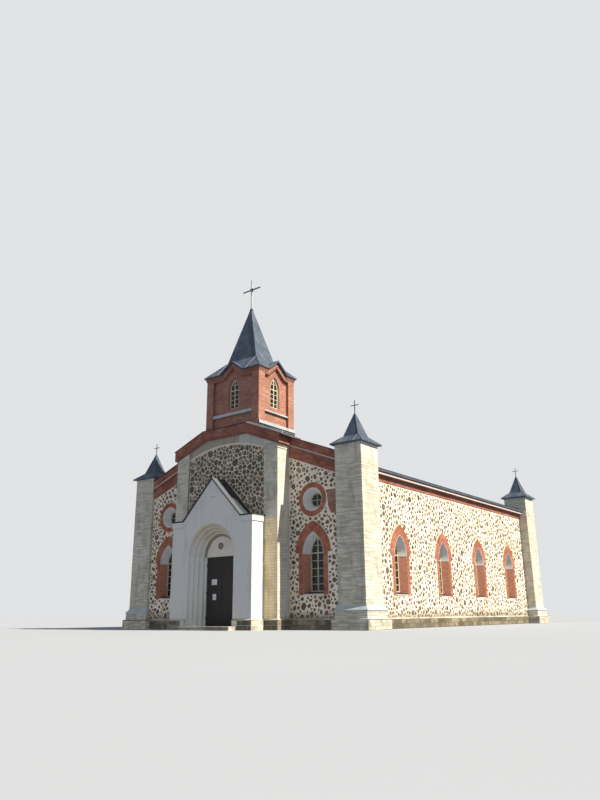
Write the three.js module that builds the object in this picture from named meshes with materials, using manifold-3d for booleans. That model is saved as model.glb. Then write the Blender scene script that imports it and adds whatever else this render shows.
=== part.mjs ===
// Rural stone church: rubble walls, brick cornices and tower, limestone piers and corner turrets
// Millimetres, +Z up, ground at z = 0, +Y into the building, y = 0 on the front face of the middle bay
import * as THREE from 'three';
import { mergeVertices } from 'three/addons/utils/BufferGeometryUtils.js';
import Module from 'manifold-3d';

const wasm = await Module();
wasm.setup();

// Clearance between pieces that meet, and an open joint between plinths and mouldings at a corner
const gap = 0.3;
const joint = 10;

// How far joined solids reach into each other, how far a cutter runs past a face, and the welding distance
const overlap = 1;
const through = 20;
const weld = 0.01;

// Plan of the nave and the facade
const bayHalf = 3000;
const pilasterInner = 2250;
const sideBayY = 765;
const panelSetback = 70;
const wallThickness = 800;
const naveFrontY = sideBayY + wallThickness;
const turretInner = 5420;
const turretSize = 1250;
const turretOuter = turretInner + turretSize;
const turretFrontY = 660;
const turretBackY = turretFrontY + turretSize;
const sideWallOuter = 6200;
const sideWallInner = sideWallOuter - wallThickness;
const windowPitch = 4000;
const firstWindowY = 4200;
const windowsPerSide = 4;
const middleY = firstWindowY + windowPitch * (windowsPerSide - 1) / 2;
const rearFaceY = 2 * middleY - sideBayY;
const naveRearY = rearFaceY - wallThickness;

// Heights
const plinthTop = 395;
const plinthStep = 50;
const floorTop = 150;
const pilasterTop = 7440;
const turretTop = 7090;

// Cornice over the middle bay: flat in the middle, sloping to its tips
const corniceFlatHalf = 1330;
const corniceFlatTop = 8600;
const corniceTipX = 3130;
const corniceTipTop = 7890;
const corniceProud = 80;
const corniceBodyProud = 20;
const corniceReturn = 35;
const corniceFlatBottom = 8150;
const corniceFoldX = 1200;
const corniceStep = 60;

// Cornices of the side bays and the long walls: an upper band over a lower one
const bayCorniceTop = 6893;
const roofSlope = 0.394;
const upperBand = 390;
const lowerBand = 510;
const upperProud = 80;
const lowerProud = 25;

// Nave roof
const ridgeTop = 8830;
const roofThickness = 90;
const eaveX = 6440;
const sideCorniceX = 6390;
const sideCorniceBottom = 5820;
const sideCorniceMiddle = 6090;
const verge = 180;

// Pointed windows of the bays and long walls
const windowX = 4213;
const windowHalf = 505;
const windowSill = 1360;
const windowSpring = 2930;
const windowApex = 3756;
const glassHalf = 350;
const glassSill = 1420;
const glassApex = 3560;
const splayDepth = 300;
const glazingSeat = 10;
const glazingThickness = 60;
const jambWidth = 210;
const surroundHaunch = 360;
const surroundCrown = 430;
const surroundFoot = 60;
const surroundProud = 25;
const archArcSteps = 7;

// Round window over each front window
const oculusZ = 5046;
const oculusRadius = 480;
const oculusGlassRadius = 310;
const oculusRing = 210;
const circleSteps = 28;

// Tower
const towerHalfX = 1616;
const towerHalfY = 1265;
const towerY = 1634;
const towerWall = 380;
const towerFoot = 7600;
const towerEave = 11345;
const towerSeat = 11300;
const towerOverhang = 110;
const gabletHalf = 728;
const gabletApex = 11889;
const gabletWallDrop = 90;
const gabletEaveReach = 40;
const panelBottom = 8780;
const panelTop = 11060;
const panelDepth = 120;
const panelGabletInset = 120;
const panelGabletDrop = 330;
const lesene = 420;
const towerWindowHalf = 320;
const towerWindowSill = 9600;
const towerWindowSpring = 10490;
const towerWindowApex = 11100;
const towerGlazingRecess = 250;
const kerbTop = 8780;
const kerbProud = 20;

// Spire
const spireBaseZ = 12140;
const spireHalfX = 885;
const spireHalfY = 635;
const spireTipZ = 14900;
const spireTipHalf = 45;
const spireShell = 90;

// Cross on the spire
const crossTopZ = 16550;
const crossBarZ = 16020;
const crossBarHalf = 550;
const crossBarThickness = 46;
const crossPostHalf = 24;
const crossCollar = 70;
const crossCentreProud = 10;

// Turret roofs and their crosses
const turretOverhang = 144;
const turretEaveEdge = 40;
const turretBreakHalf = 360;
const turretBreakZ = 7456;
const turretApexZ = 8449;
const turretTipHalf = 18;
const turretCrossFoot = 8349;
const turretCrossTop = 9010;
const turretCrossBar = 8800;
const turretCrossHalf = 190;
const turretCrossBarSize = 28;

// Turret base: two steps that widen towards the ground
const turretStageTop = 850;
const turretStageShoulder = 720;
const turretStageStep = 100;
const turretPlinthTop = 390;
const turretPlinthStep = 200;

// Porch with a stepped round portal and a steep gable
const porchHalf = 2305;
const porchFrontY = -752;
const porchEave = 4510;
const porchGableFoot = 1678;
const porchApex = 6234;
const porchRoofDrop = 60;
const porchRoofOverhang = 30;
const portalHalf = 1330;
const portalOrders = 4;
const doorHalf = 862;
const doorHead = 2950;
const doorPlaneY = -52;
const mouldingBottom = 4230;
const mouldingProud = 30;

// Door: two leaves on hinges at their outer edges, opening outwards
const leafFrontY = -20;
const leafThickness = 50;
const leafSideGap = 9;
const leafMiddleGap = 6;
const leafBottom = 165;
const leafTop = 2935;
const hingeInset = 15;
const hingeRadius = 14;
const hingeHeights = [450, 1500, 2620];
const hingeBarrel = 60;
const hingeStrap = 90;
const hingePlate = 3;
const hingeSides = 16;

// Door frame
const framePost = 60;
const frameFrontY = 38;
const frameBackY = 120;
const frameHead = 55;

// Step in front of the door: two slabs with an open joint between them
const stepHalf = 1590;
const stepFrontY = -1270;
const stepJointBottom = 50;
const stepJointTop = 100;
const stepJointDepth = 40;

// Finishes
const limestone = { color: '#c9c4b0', roughness: 0.9, metalness: 0 };
const rubble = { color: '#8c8578', roughness: 0.95, metalness: 0 };
const brick = { color: '#9c4f3a', roughness: 0.9, metalness: 0 };
const plaster = { color: '#e6e6e2', roughness: 0.85, metalness: 0 };
const sheetMetal = { color: '#4b5460', roughness: 0.5, metalness: 0.6 };
const darkWood = { color: '#2b2624', roughness: 0.6, metalness: 0 };
const paintedFrame = { color: '#cfc9a4', roughness: 0.4, metalness: 0 };
const concrete = { color: '#a9a69d', roughness: 0.9, metalness: 0 };

const group = new THREE.Group();

function add(name, geometry, finish) {
  const mesh = new THREE.Mesh(geometry, new THREE.MeshStandardMaterial(finish));
  mesh.name = name;
  group.add(mesh);
}

function addPair(name, piece, finish) {
  add(`${name}_right`, shape3d(piece), finish);
  add(`${name}_left`, shape3d(mirrorX(piece)), finish);
}

// Closed three.js geometry to a solid, and back
function solid(geometry) {
  const bare = geometry.clone();
  bare.deleteAttribute('normal');
  bare.deleteAttribute('uv');
  const merged = mergeVertices(bare, weld / 10);
  const vertProperties = new Float32Array(merged.attributes.position.array);
  const triVerts = new Uint32Array(merged.index.array);
  return new wasm.Manifold(new wasm.Mesh({ numProp: 3, vertProperties, triVerts }));
}

function shape3d(manifold) {
  const mesh = manifold.getMesh();
  const geometry = new THREE.BufferGeometry();
  geometry.setAttribute('position', new THREE.BufferAttribute(new Float32Array(mesh.vertProperties), 3));
  geometry.setIndex(new THREE.BufferAttribute(new Uint32Array(mesh.triVerts), 1));
  geometry.computeVertexNormals();
  return geometry;
}

// Box between two corners; the two x values may come in either order
function box(xa, xb, y0, y1, z0, z1) {
  const geometry = new THREE.BoxGeometry(Math.abs(xb - xa), y1 - y0, z1 - z0);
  return solid(geometry.translate((xa + xb) / 2, (y0 + y1) / 2, (z0 + z1) / 2));
}

function extruded(points, depth) {
  const shape = new THREE.Shape(points.map(([u, v]) => new THREE.Vector2(u, v)));
  return new THREE.ExtrudeGeometry(shape, { depth, bevelEnabled: false });
}

// Outline in x and z, extruded along y
function alongY(points, y0, y1) {
  return solid(extruded(points, y1 - y0).rotateX(Math.PI / 2).translate(0, y1, 0));
}

// Outline in y and z, extruded along x
function alongX(points, x0, x1) {
  const axes = new THREE.Matrix4().makeBasis(
    new THREE.Vector3(0, 1, 0), new THREE.Vector3(0, 0, 1), new THREE.Vector3(1, 0, 0));
  return solid(extruded(points, x1 - x0).applyMatrix4(axes).translate(x0, 0, 0));
}

// Outline in x and y, extruded along z
function alongZ(points, z0, z1) {
  return solid(extruded(points, z1 - z0).translate(0, 0, z0));
}

// Box whose top rectangle differs from its foot, centred at x, y; foot and top are half sizes
function frustum(x, y, foot, z0, top, z1) {
  const geometry = new THREE.BoxGeometry(2, 2, z1 - z0);
  const position = geometry.attributes.position;
  for (let i = 0; i < position.count; i += 1) {
    const half = position.getZ(i) > 0 ? top : foot;
    position.setXY(i, position.getX(i) * half[0], position.getY(i) * half[1]);
  }
  return solid(geometry.translate(x, y, (z0 + z1) / 2));
}

// Outline with a pointed or round head: two arcs that meet at the apex
function archOutline(center, half, sill, spring, apex) {
  const rise = apex - spring;
  const radius = (half * half + rise * rise) / (2 * half);
  const sweep = Math.atan2(rise, radius - half);
  const points = [[center - half, sill], [center + half, sill]];
  for (let i = 0; i <= archArcSteps; i += 1) {
    const angle = sweep * i / archArcSteps;
    points.push([center + half - radius + radius * Math.cos(angle), spring + radius * Math.sin(angle)]);
  }
  for (let i = archArcSteps - 1; i >= 0; i -= 1) {
    const angle = sweep * i / archArcSteps;
    points.push([center - half + radius - radius * Math.cos(angle), spring + radius * Math.sin(angle)]);
  }
  return points;
}

function circleOutline(center, z, radius) {
  const points = [];
  for (let i = 0; i < circleSteps; i += 1) {
    const angle = 2 * Math.PI * i / circleSteps;
    points.push([center + radius * Math.cos(angle), z + radius * Math.sin(angle)]);
  }
  return points;
}

// Wall opening in x and z that narrows from the outer outline at y0 to the inner one at y1,
// and goes on straight to y2
function splayedHole(outer, inner, y0, y1, y2) {
  const depth = y1 - y0;
  const geometry = extruded(outer, depth);
  const position = geometry.attributes.position;
  for (let i = 0; i < position.count; i += 1) {
    if (position.getZ(i) < depth / 2) {
      const k = outer.findIndex(([u, v]) => Math.hypot(u - position.getX(i), v - position.getY(i)) < weld);
      position.setXY(i, inner[k][0], inner[k][1]);
    }
  }
  geometry.translate(0, 0, -depth).rotateX(Math.PI / 2).translate(0, y0, 0);
  const mouth = alongY(outer, y0 - through, y0 + weld);
  const tail = alongY(inner, y1 - weld, y2);
  return solid(geometry).add(mouth).add(tail);
}

// Mirror copies and turns about a vertical axis
function mirrorX(manifold) {
  return manifold.mirror([1, 0, 0]);
}

function mirrorY(manifold) {
  return manifold.mirror([0, 1, 0]).translate([0, 2 * middleY, 0]);
}

function turnZ(manifold, degrees) {
  return manifold.rotate([0, 0, degrees]);
}

// Brick surround that stands a little proud of the wall, wider round the pointed head
function windowSurround(center, faceY) {
  const head = archOutline(center, windowHalf + surroundHaunch, windowSpring, windowSpring,
    windowApex + surroundCrown);
  const jambs = [
    [center - windowHalf - jambWidth, windowSill - surroundFoot],
    [center + windowHalf + jambWidth, windowSill - surroundFoot],
    [center + windowHalf + jambWidth, windowSpring + overlap],
    [center - windowHalf - jambWidth, windowSpring + overlap],
  ];
  const front = faceY - surroundProud;
  return alongY(head, front, faceY + overlap).add(alongY(jambs, front, faceY + overlap));
}

function windowHole(center, faceY, backY) {
  const outer = archOutline(center, windowHalf, windowSill, windowSpring, windowApex);
  const inner = archOutline(center, glassHalf, glassSill, windowSpring, glassApex);
  return splayedHole(outer, inner, faceY - surroundProud, faceY + splayDepth, backY + through);
}

// Frame and panes of a window as one plate just behind the splay
function glazing(outline, faceY) {
  const front = faceY + splayDepth + glazingSeat;
  return alongY(outline, front, front + glazingThickness);
}

function windowGlazing(center, faceY) {
  return glazing(archOutline(center, glassHalf - gap, glassSill + gap, windowSpring, glassApex - gap), faceY);
}

// Underside of the middle bay's cornice at a distance x from the middle: flat, then sloping
function underCornice(x) {
  const slope = (corniceFlatBottom - pilasterTop) / (bayHalf - corniceFoldX);
  return corniceFlatBottom - slope * (x - corniceFoldX);
}

// Top of the side bay's cornice and of the nave roof at a distance x from the middle
function bayTop(x) {
  return bayCorniceTop + roofSlope * (turretInner - x);
}

function roofTop(x) {
  return ridgeTop - roofSlope * x;
}

function underRoof(x) {
  return roofTop(x) - roofThickness - gap;
}

// Middle bay
function centralWalls() {
  const half = pilasterInner - gap;
  addPair('central_wall', box(doorHalf, half, panelSetback, naveFrontY, 0, doorHead), rubble);
  const over = alongY([
    [-half, doorHead + gap], [half, doorHead + gap], [half, underCornice(half) - gap],
    [corniceFoldX, corniceFlatBottom - gap], [-corniceFoldX, corniceFlatBottom - gap],
    [-half, underCornice(half) - gap],
  ], panelSetback, naveFrontY);
  add('central_wall_over_door', shape3d(over), rubble);
}

function bayPilasters() {
  const shaft = alongY([
    [pilasterInner, 0], [bayHalf, 0], [bayHalf, underCornice(bayHalf) - gap],
    [pilasterInner, underCornice(pilasterInner) - gap],
  ], 0, naveFrontY);
  const plinth = box(pilasterInner + plinthStep + joint, bayHalf + plinthStep,
    -plinthStep, sideBayY - joint, 0, plinthTop);
  addPair('bay_pilaster', shaft.add(plinth), limestone);
}

function centralCornice() {
  const outline = (tip, rise) => [
    [-tip, underCornice(tip) + rise], [-corniceFoldX, corniceFlatBottom + rise],
    [corniceFoldX, corniceFlatBottom + rise], [tip, underCornice(tip) + rise],
    [tip, corniceTipTop], [corniceFlatHalf, corniceFlatTop],
    [-corniceFlatHalf, corniceFlatTop], [-tip, corniceTipTop],
  ];
  const body = alongY(outline(bayHalf + corniceReturn, 0), -corniceBodyProud, naveFrontY - gap);
  const upper = alongY(outline(corniceTipX, corniceStep), -corniceProud, sideBayY - upperProud - joint);
  add('central_cornice', shape3d(body.add(upper)), brick);
}

// Side bays with a pointed window and a round one above it
function bayWall() {
  const x0 = bayHalf + gap;
  const x1 = turretInner - gap;
  const wallTop = (x) => bayTop(x) - upperBand - lowerBand - gap;
  const wall = alongY([[x0, 0], [x1, 0], [x1, wallTop(x1)], [x0, wallTop(x0)]], sideBayY, naveFrontY);
  const plinth = box(bayHalf + plinthStep + joint, turretInner - turretPlinthStep - joint,
    sideBayY - plinthStep, sideBayY + overlap, 0, plinthTop);
  const front = sideBayY - surroundProud;
  const ring = alongY(circleOutline(windowX, oculusZ, oculusRadius + oculusRing), front, sideBayY + overlap);
  const round = splayedHole(
    circleOutline(windowX, oculusZ, oculusRadius), circleOutline(windowX, oculusZ, oculusGlassRadius),
    front, sideBayY + splayDepth, naveFrontY + through);
  const surround = windowSurround(windowX, sideBayY);
  const hole = windowHole(windowX, sideBayY, naveFrontY);
  return wall.add(plinth).add(ring).add(surround).subtract(round).subtract(hole);
}

function bayCornice() {
  const x0 = bayHalf + corniceReturn + gap;
  const x1 = turretInner - gap;
  const band = (depth) => [
    [x0, bayTop(x0) - depth], [x1, bayTop(x1) - depth], [x1, bayTop(x1)], [x0, bayTop(x0)],
  ];
  const lower = alongY(band(upperBand + lowerBand), sideBayY - lowerProud, naveFrontY - gap);
  const upper = alongY(band(upperBand), sideBayY - upperProud, sideBayY);
  return lower.add(upper);
}

function sideBays() {
  addPair('bay_wall', bayWall(), rubble);
  addPair('bay_cornice', bayCornice(), brick);
  addPair('front_window', windowGlazing(windowX, sideBayY), paintedFrame);
  const roundOutline = circleOutline(windowX, oculusZ, oculusGlassRadius - gap);
  addPair('round_window', glazing(roundOutline, sideBayY), paintedFrame);
}

// Long walls, drawn along x and then turned to run along y at the right side
function longWalls() {
  const start = turretBackY + gap;
  const end = 2 * middleY - turretBackY - gap;
  const face = -sideWallOuter;
  const back = -sideWallInner;
  const place = (manifold) => turnZ(manifold, 90);
  let wall = box(start, end, face, back, 0, sideCorniceBottom - gap);
  wall = wall.add(box(start + turretPlinthStep + joint, end - turretPlinthStep - joint,
    face - plinthStep, face + overlap, 0, plinthTop));
  for (let i = 0; i < windowsPerSide; i += 1) {
    const center = firstWindowY + i * windowPitch;
    wall = wall.add(windowSurround(center, face)).subtract(windowHole(center, face, back));
    const pane = place(windowGlazing(center, face));
    add(`side_window_right_${i + 1}`, shape3d(pane), paintedFrame);
    add(`side_window_left_${i + 1}`, shape3d(mirrorX(pane)), paintedFrame);
  }
  addPair('side_wall', place(wall), rubble);
  const lowerX = sideWallOuter + lowerProud;
  const cornice = alongY([
    [sideWallInner, sideCorniceBottom], [lowerX, sideCorniceBottom], [lowerX, sideCorniceMiddle],
    [sideCorniceX, sideCorniceMiddle], [sideCorniceX, underRoof(sideCorniceX)],
    [sideWallInner, underRoof(sideWallInner)],
  ], start, end);
  addPair('side_cornice', cornice, brick);
}

// Rear gable with two pointed windows
function rearGable() {
  const half = turretInner - gap;
  const band = upperBand + lowerBand;
  const face = -rearFaceY;
  let wall = alongY([
    [-half, 0], [half, 0], [half, underRoof(half) - band], [0, underRoof(0) - band],
    [-half, underRoof(half) - band],
  ], face, -naveRearY);
  const plinthHalf = turretInner - turretPlinthStep - joint;
  wall = wall.add(box(-plinthHalf, plinthHalf, face - plinthStep, face + overlap, 0, plinthTop));
  for (const center of [-windowX, windowX]) {
    wall = wall.add(windowSurround(center, face)).subtract(windowHole(center, face, -naveRearY));
  }
  add('rear_wall', shape3d(turnZ(wall, 180)), rubble);
  add('rear_window_left', shape3d(turnZ(windowGlazing(windowX, face), 180)), paintedFrame);
  add('rear_window_right', shape3d(turnZ(windowGlazing(-windowX, face), 180)), paintedFrame);
  const rake = (depth) => [
    [-half, underRoof(half) - depth], [0, underRoof(0) - depth], [half, underRoof(half) - depth],
    [half, underRoof(half)], [0, underRoof(0)], [-half, underRoof(half)],
  ];
  const lower = alongY(rake(band - gap), naveRearY + gap, rearFaceY + lowerProud);
  const upper = alongY(rake(upperBand), rearFaceY, rearFaceY + upperProud);
  add('rear_cornice', shape3d(lower.add(upper)), brick);
}

// Corner turrets: limestone piers with metal roofs and small crosses
const turretX = (turretInner + turretOuter) / 2;
const turretY = (turretFrontY + turretBackY) / 2;

function turretPier() {
  const widened = (step, z1) => box(turretInner - step, turretOuter + step,
    turretFrontY - step, turretBackY + step, 0, z1);
  const half = turretSize / 2;
  const wide = half + turretStageStep;
  const shoulder = frustum(turretX, turretY, [wide, wide], turretStageShoulder, [half, half], turretStageTop);
  const bayBody = box(0, turretInner, sideBayY - gap, turretBackY, -through, turretTop / 2);
  const sideBody = box(0, sideWallOuter + gap, turretBackY, 2 * turretBackY, -through, turretTop / 2);
  return widened(0, turretTop).add(widened(turretPlinthStep, turretPlinthTop))
    .add(widened(turretStageStep, turretStageShoulder)).add(shoulder)
    .subtract(bayBody).subtract(sideBody);
}

function turretRoof() {
  const eave = turretSize / 2 + turretOverhang;
  const seat = turretTop + gap;
  const bar = turretCrossBarSize / 2;
  const square = (half) => [half, half];
  const skirtFoot = seat + turretEaveEdge;
  const edge = frustum(turretX, turretY, square(eave), seat, square(eave), skirtFoot);
  const skirt = frustum(turretX, turretY, square(eave), skirtFoot, square(turretBreakHalf), turretBreakZ);
  const spire = frustum(turretX, turretY, square(turretBreakHalf), turretBreakZ,
    square(turretTipHalf), turretApexZ);
  const post = box(turretX - bar, turretX + bar, turretY - bar, turretY + bar,
    turretCrossFoot, turretCrossTop);
  const arms = box(turretX - turretCrossHalf, turretX + turretCrossHalf, turretY - bar, turretY + bar,
    turretCrossBar - bar, turretCrossBar + bar);
  return edge.add(skirt).add(spire).add(post).add(arms);
}

function turrets() {
  const corners = [
    ['front_right', (part) => part],
    ['front_left', mirrorX],
    ['rear_right', mirrorY],
    ['rear_left', (part) => mirrorX(mirrorY(part))],
  ];
  for (const [corner, place] of corners) {
    add(`turret_${corner}`, shape3d(place(turretPier())), limestone);
    add(`turret_roof_${corner}`, shape3d(place(turretRoof())), sheetMetal);
  }
}

// Nave roof: two slabs that meet at the ridge, cut back at the turrets
function naveRoof() {
  const rear = rearFaceY + verge;
  let slab = alongY([
    [gap / 2, roofTop(0)], [gap / 2, roofTop(0) - roofThickness],
    [eaveX, roofTop(eaveX) - roofThickness], [eaveX, roofTop(eaveX)],
  ], naveFrontY + gap, rear);
  const corner = [turretInner - gap, 2 * eaveX];
  slab = slab.subtract(box(...corner, 0, turretBackY + gap, 0, ridgeTop));
  slab = slab.subtract(box(...corner, 2 * middleY - turretBackY - gap, 2 * rear, 0, ridgeTop));
  addPair('nave_roof', slab, sheetMetal);
}

function naveFloor() {
  const half = sideWallInner - gap;
  add('nave_floor', shape3d(box(-half, half, naveFrontY + gap, naveRearY - gap, 0, floorTop)), concrete);
}

// What the tower stands on: the middle cornice in front and the nave roof behind it
function towerSeatCutter() {
  const reach = 2 * towerHalfX;
  const front = alongY([
    [-reach, 0], [reach, 0], [reach, corniceTipTop],
    [corniceTipX, corniceTipTop + gap], [corniceFlatHalf, corniceFlatTop + gap],
    [-corniceFlatHalf, corniceFlatTop + gap], [-corniceTipX, corniceTipTop + gap], [-reach, corniceTipTop],
  ], -towerHalfY, naveFrontY);
  const back = alongY([
    [-reach, 0], [reach, 0], [reach, roofTop(reach) + gap], [0, roofTop(0) + gap],
    [-reach, roofTop(reach) + gap],
  ], naveFrontY - gap, towerY + 2 * towerHalfY);
  return front.add(back);
}

// Wall top under the roof: level at the corners, with a gablet in the middle
function gabletWallOutline(half, rise) {
  const foot = gabletHalf - gabletWallDrop;
  const seat = towerSeat + rise;
  return [
    [-half, towerFoot], [half, towerFoot], [half, seat], [foot, seat],
    [0, gabletApex - gabletWallDrop + rise], [-foot, seat], [-half, seat],
  ];
}

// One tower wall with its face at y = -reach of the tower's own axes, a recessed panel with a
// lancet window, and a kerb at its foot that stands proud at the ends, the face, or both
function towerWallPiece(half, reach, stripWidth, kerb) {
  const face = -reach;
  const back = face + towerWall;
  let wall = alongY(gabletWallOutline(half, 0), face, back);
  wall = wall.add(box(-half - kerb.ends, half + kerb.ends, face - kerb.face, back, towerFoot, kerbTop));
  const panelHalf = half - stripWidth;
  const gabletFoot = gabletHalf - panelGabletInset;
  const recess = alongY([
    [-panelHalf, panelBottom], [panelHalf, panelBottom], [panelHalf, panelTop], [gabletFoot, panelTop],
    [0, gabletApex - panelGabletDrop], [-gabletFoot, panelTop], [-panelHalf, panelTop],
  ], face - overlap, face + panelDepth);
  const outline = archOutline(0, towerWindowHalf, towerWindowSill, towerWindowSpring, towerWindowApex);
  return wall.subtract(recess).subtract(alongY(outline, face - overlap, back + overlap));
}

function towerGlazing(reach) {
  const face = -reach + towerGlazingRecess;
  const outline = archOutline(0, towerWindowHalf - gap, towerWindowSill + gap, towerWindowSpring,
    towerWindowApex - gap);
  return alongY(outline, face, face + glazingThickness);
}

function tower() {
  const seat = towerSeatCutter();
  const sideHalf = towerHalfY - towerWall - gap;
  const front = towerWallPiece(towerHalfX, towerHalfY, lesene, { ends: kerbProud, face: 0 });
  const rear = towerWallPiece(towerHalfX, towerHalfY, lesene, { ends: kerbProud, face: kerbProud });
  const side = towerWallPiece(sideHalf, towerHalfX, lesene - towerWall, { ends: 0, face: kerbProud });
  const faces = [
    ['front', front, towerHalfY, 0],
    ['rear', rear, towerHalfY, 180],
    ['right', side, towerHalfX, 90],
    ['left', side, towerHalfX, -90],
  ];
  for (const [name, wall, reach, degrees] of faces) {
    const place = (part) => turnZ(part, degrees).translate([0, towerY, 0]);
    add(`tower_wall_${name}`, shape3d(place(wall).subtract(seat)), brick);
    add(`tower_window_${name}`, shape3d(place(towerGlazing(reach))), paintedFrame);
  }
}

// What is cut from the overhang so that the wall's gablet shows under a thin verge, along y
function openGablet(reach) {
  const foot = gabletHalf - gabletWallDrop;
  const seat = towerSeat + gap;
  return alongY([
    [-foot, towerFoot], [foot, towerFoot], [foot, seat], [0, gabletApex - gabletWallDrop + gap],
    [-foot, seat],
  ], -reach, reach);
}

// Steep spire on a flared skirt with a small gablet roof on each side, lowered by drop
function towerRoofSolid(drop) {
  const eaveHalf = [towerHalfX + towerOverhang, towerHalfY + towerOverhang];
  const baseHalf = [spireHalfX, spireHalfY];
  const eave = towerEave - drop;
  const base = spireBaseZ - drop;
  const edge = frustum(0, 0, eaveHalf, towerSeat + gap - drop, eaveHalf, eave);
  const skirt = frustum(0, 0, eaveHalf, eave, baseHalf, base);
  const spire = frustum(0, 0, baseHalf, base, [spireTipHalf, spireTipHalf], spireTipZ - drop);
  const foot = gabletHalf + gabletEaveReach;
  const low = eave - gabletEaveReach;
  const gablet = [[-foot, low], [foot, low], [0, gabletApex - drop]];
  const across = alongY(gablet, -eaveHalf[1], eaveHalf[1]);
  const along = turnZ(alongY(gablet, -eaveHalf[0], eaveHalf[0]), 90);
  return edge.add(skirt).add(spire).add(across).add(along);
}

function towerRoof() {
  const roomX = towerHalfX - towerWall;
  const roomY = towerHalfY - towerWall;
  const room = (top) => box(-roomX, roomX, -roomY, roomY, 0, top);
  const hollow = towerRoofSolid(spireShell).intersect(room(spireTipZ)).add(room(towerEave - spireShell));
  const reachX = towerHalfX + gap;
  const reachY = towerHalfY + gap;
  const longWallsBelow = alongY(gabletWallOutline(towerHalfX, gap), -reachY, reachY);
  const sideWallsBelow = turnZ(alongY(gabletWallOutline(towerHalfY, gap), -reachX, reachX), 90);
  const gabletsY = openGablet(towerHalfY + towerOverhang + overlap);
  const gabletsX = turnZ(openGablet(towerHalfX + towerOverhang + overlap), 90);
  const roof = towerRoofSolid(0).subtract(hollow).subtract(longWallsBelow).subtract(sideWallsBelow)
    .subtract(gabletsY).subtract(gabletsX);
  add('tower_roof', shape3d(roof.translate([0, towerY, 0])), sheetMetal);
}

function towerCross() {
  const post = crossPostHalf;
  const half = crossBarThickness / 2;
  const collar = frustum(0, 0, [crossCollar, crossCollar], spireTipZ + gap, [post, post],
    spireTipZ + 2 * crossCollar);
  const shaft = box(-post, post, -post, post, spireTipZ + crossCollar, crossTopZ);
  const bar = box(-crossBarHalf, crossBarHalf, -half, half, crossBarZ - half, crossBarZ + half);
  const centre = box(-crossCollar, crossCollar, -half - crossCentreProud, half + crossCentreProud,
    crossBarZ - crossCollar, crossBarZ + crossCollar);
  const cross = collar.add(shaft).add(bar).add(centre);
  add('tower_cross', shape3d(cross.translate([0, towerY, 0])), sheetMetal);
}

// Porch: two piers with stepped jambs, and a gable with the stepped arch over them
function orderStep(i) {
  const inset = (portalHalf - doorHalf) / portalOrders;
  const depth = (doorPlaneY - porchFrontY) / portalOrders;
  return { half: portalHalf - i * inset, y0: porchFrontY + i * depth, y1: porchFrontY + (i + 1) * depth };
}

function porchPiers() {
  const plan = [[porchHalf, porchFrontY]];
  for (let i = 0; i < portalOrders; i += 1) {
    const order = orderStep(i);
    plan.push([order.half, order.y0], [order.half, order.y1]);
  }
  plan.push([doorHalf, doorPlaneY], [doorHalf, panelSetback - gap]);
  plan.push([pilasterInner - gap, panelSetback - gap], [pilasterInner - gap, -gap], [porchHalf, -gap]);
  plan.reverse();
  const plinthOuter = porchHalf + plinthStep;
  const plinthFront = porchFrontY - plinthStep;
  const frontPlinth = box(portalHalf, plinthOuter, plinthFront, porchFrontY + overlap, 0, plinthTop);
  const sidePlinth = box(porchHalf - overlap, plinthOuter, plinthFront, -plinthStep - joint, 0, plinthTop);
  const stepRoom = box(0, stepHalf + gap, stepFrontY, porchFrontY + gap, -through, floorTop + gap);
  const pier = alongZ(plan, 0, doorHead).add(frontPlinth).add(sidePlinth).subtract(stepRoom);
  addPair('porch_pier', pier, plaster);
}

// Gable outline with a foot at the given half width and height
function porchGableOutline(half) {
  const drop = porchRoofDrop + gap;
  const eave = porchEave - drop;
  return [
    [-half, doorHead + gap], [half, doorHead + gap], [half, eave], [porchGableFoot, eave],
    [0, porchApex - drop], [-porchGableFoot, eave], [-half, eave],
  ];
}

function porchGable() {
  let gable = alongY(porchGableOutline(porchHalf), porchFrontY, -gap);
  for (let i = 0; i < portalOrders; i += 1) {
    const order = orderStep(i);
    const arch = archOutline(0, order.half, 0, doorHead, doorHead + order.half);
    gable = gable.subtract(alongY(arch, order.y0 - overlap, order.y1));
  }
  gable = gable.add(alongY(porchGableOutline(pilasterInner - gap), -overlap, panelSetback - gap));
  for (const side of [-1, 1]) {
    const near = side * (porchGableFoot - mouldingProud);
    const far = side * (porchHalf + mouldingProud);
    gable = gable.add(box(near, far, porchFrontY - mouldingProud, -gap - joint,
      mouldingBottom, porchEave - porchRoofDrop - gap));
  }
  add('porch_gable', shape3d(gable), plaster);
}

function porchRoof() {
  const edge = porchHalf + mouldingProud + porchRoofOverhang;
  const line = (drop) => [
    [-edge, porchEave - drop], [-porchGableFoot, porchEave - drop], [0, porchApex - drop],
    [porchGableFoot, porchEave - drop], [edge, porchEave - drop],
  ];
  const outline = [...line(porchRoofDrop), ...line(0).reverse()];
  const front = porchFrontY - mouldingProud - porchRoofOverhang;
  let roof = alongY(outline, front, panelSetback - gap);
  for (const side of [-1, 1]) {
    roof = roof.subtract(box(side * (pilasterInner - gap), side * 2 * porchHalf, -gap, 2 * panelSetback,
      porchEave / 2, porchApex));
  }
  add('porch_roof', shape3d(roof), sheetMetal);
}

function entranceSteps() {
  const back = panelSetback - gap;
  const recess = stepFrontY + stepJointDepth;
  const outline = [
    [stepFrontY, 0], [back, 0], [back, floorTop], [stepFrontY, floorTop], [stepFrontY, stepJointTop],
    [recess, stepJointTop], [recess, stepJointBottom], [stepFrontY, stepJointBottom],
  ];
  const doorway = doorHalf - gap;
  let steps = alongX(outline, -stepHalf, stepHalf);
  for (const side of [-1, 1]) {
    steps = steps.subtract(box(side * doorway, side * 2 * stepHalf, porchFrontY, 2 * panelSetback,
      -through, 2 * floorTop));
  }
  steps = steps.add(box(-doorway, doorway, back - overlap, naveFrontY, 0, floorTop));
  add('entrance_steps', shape3d(steps), concrete);
}

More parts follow.
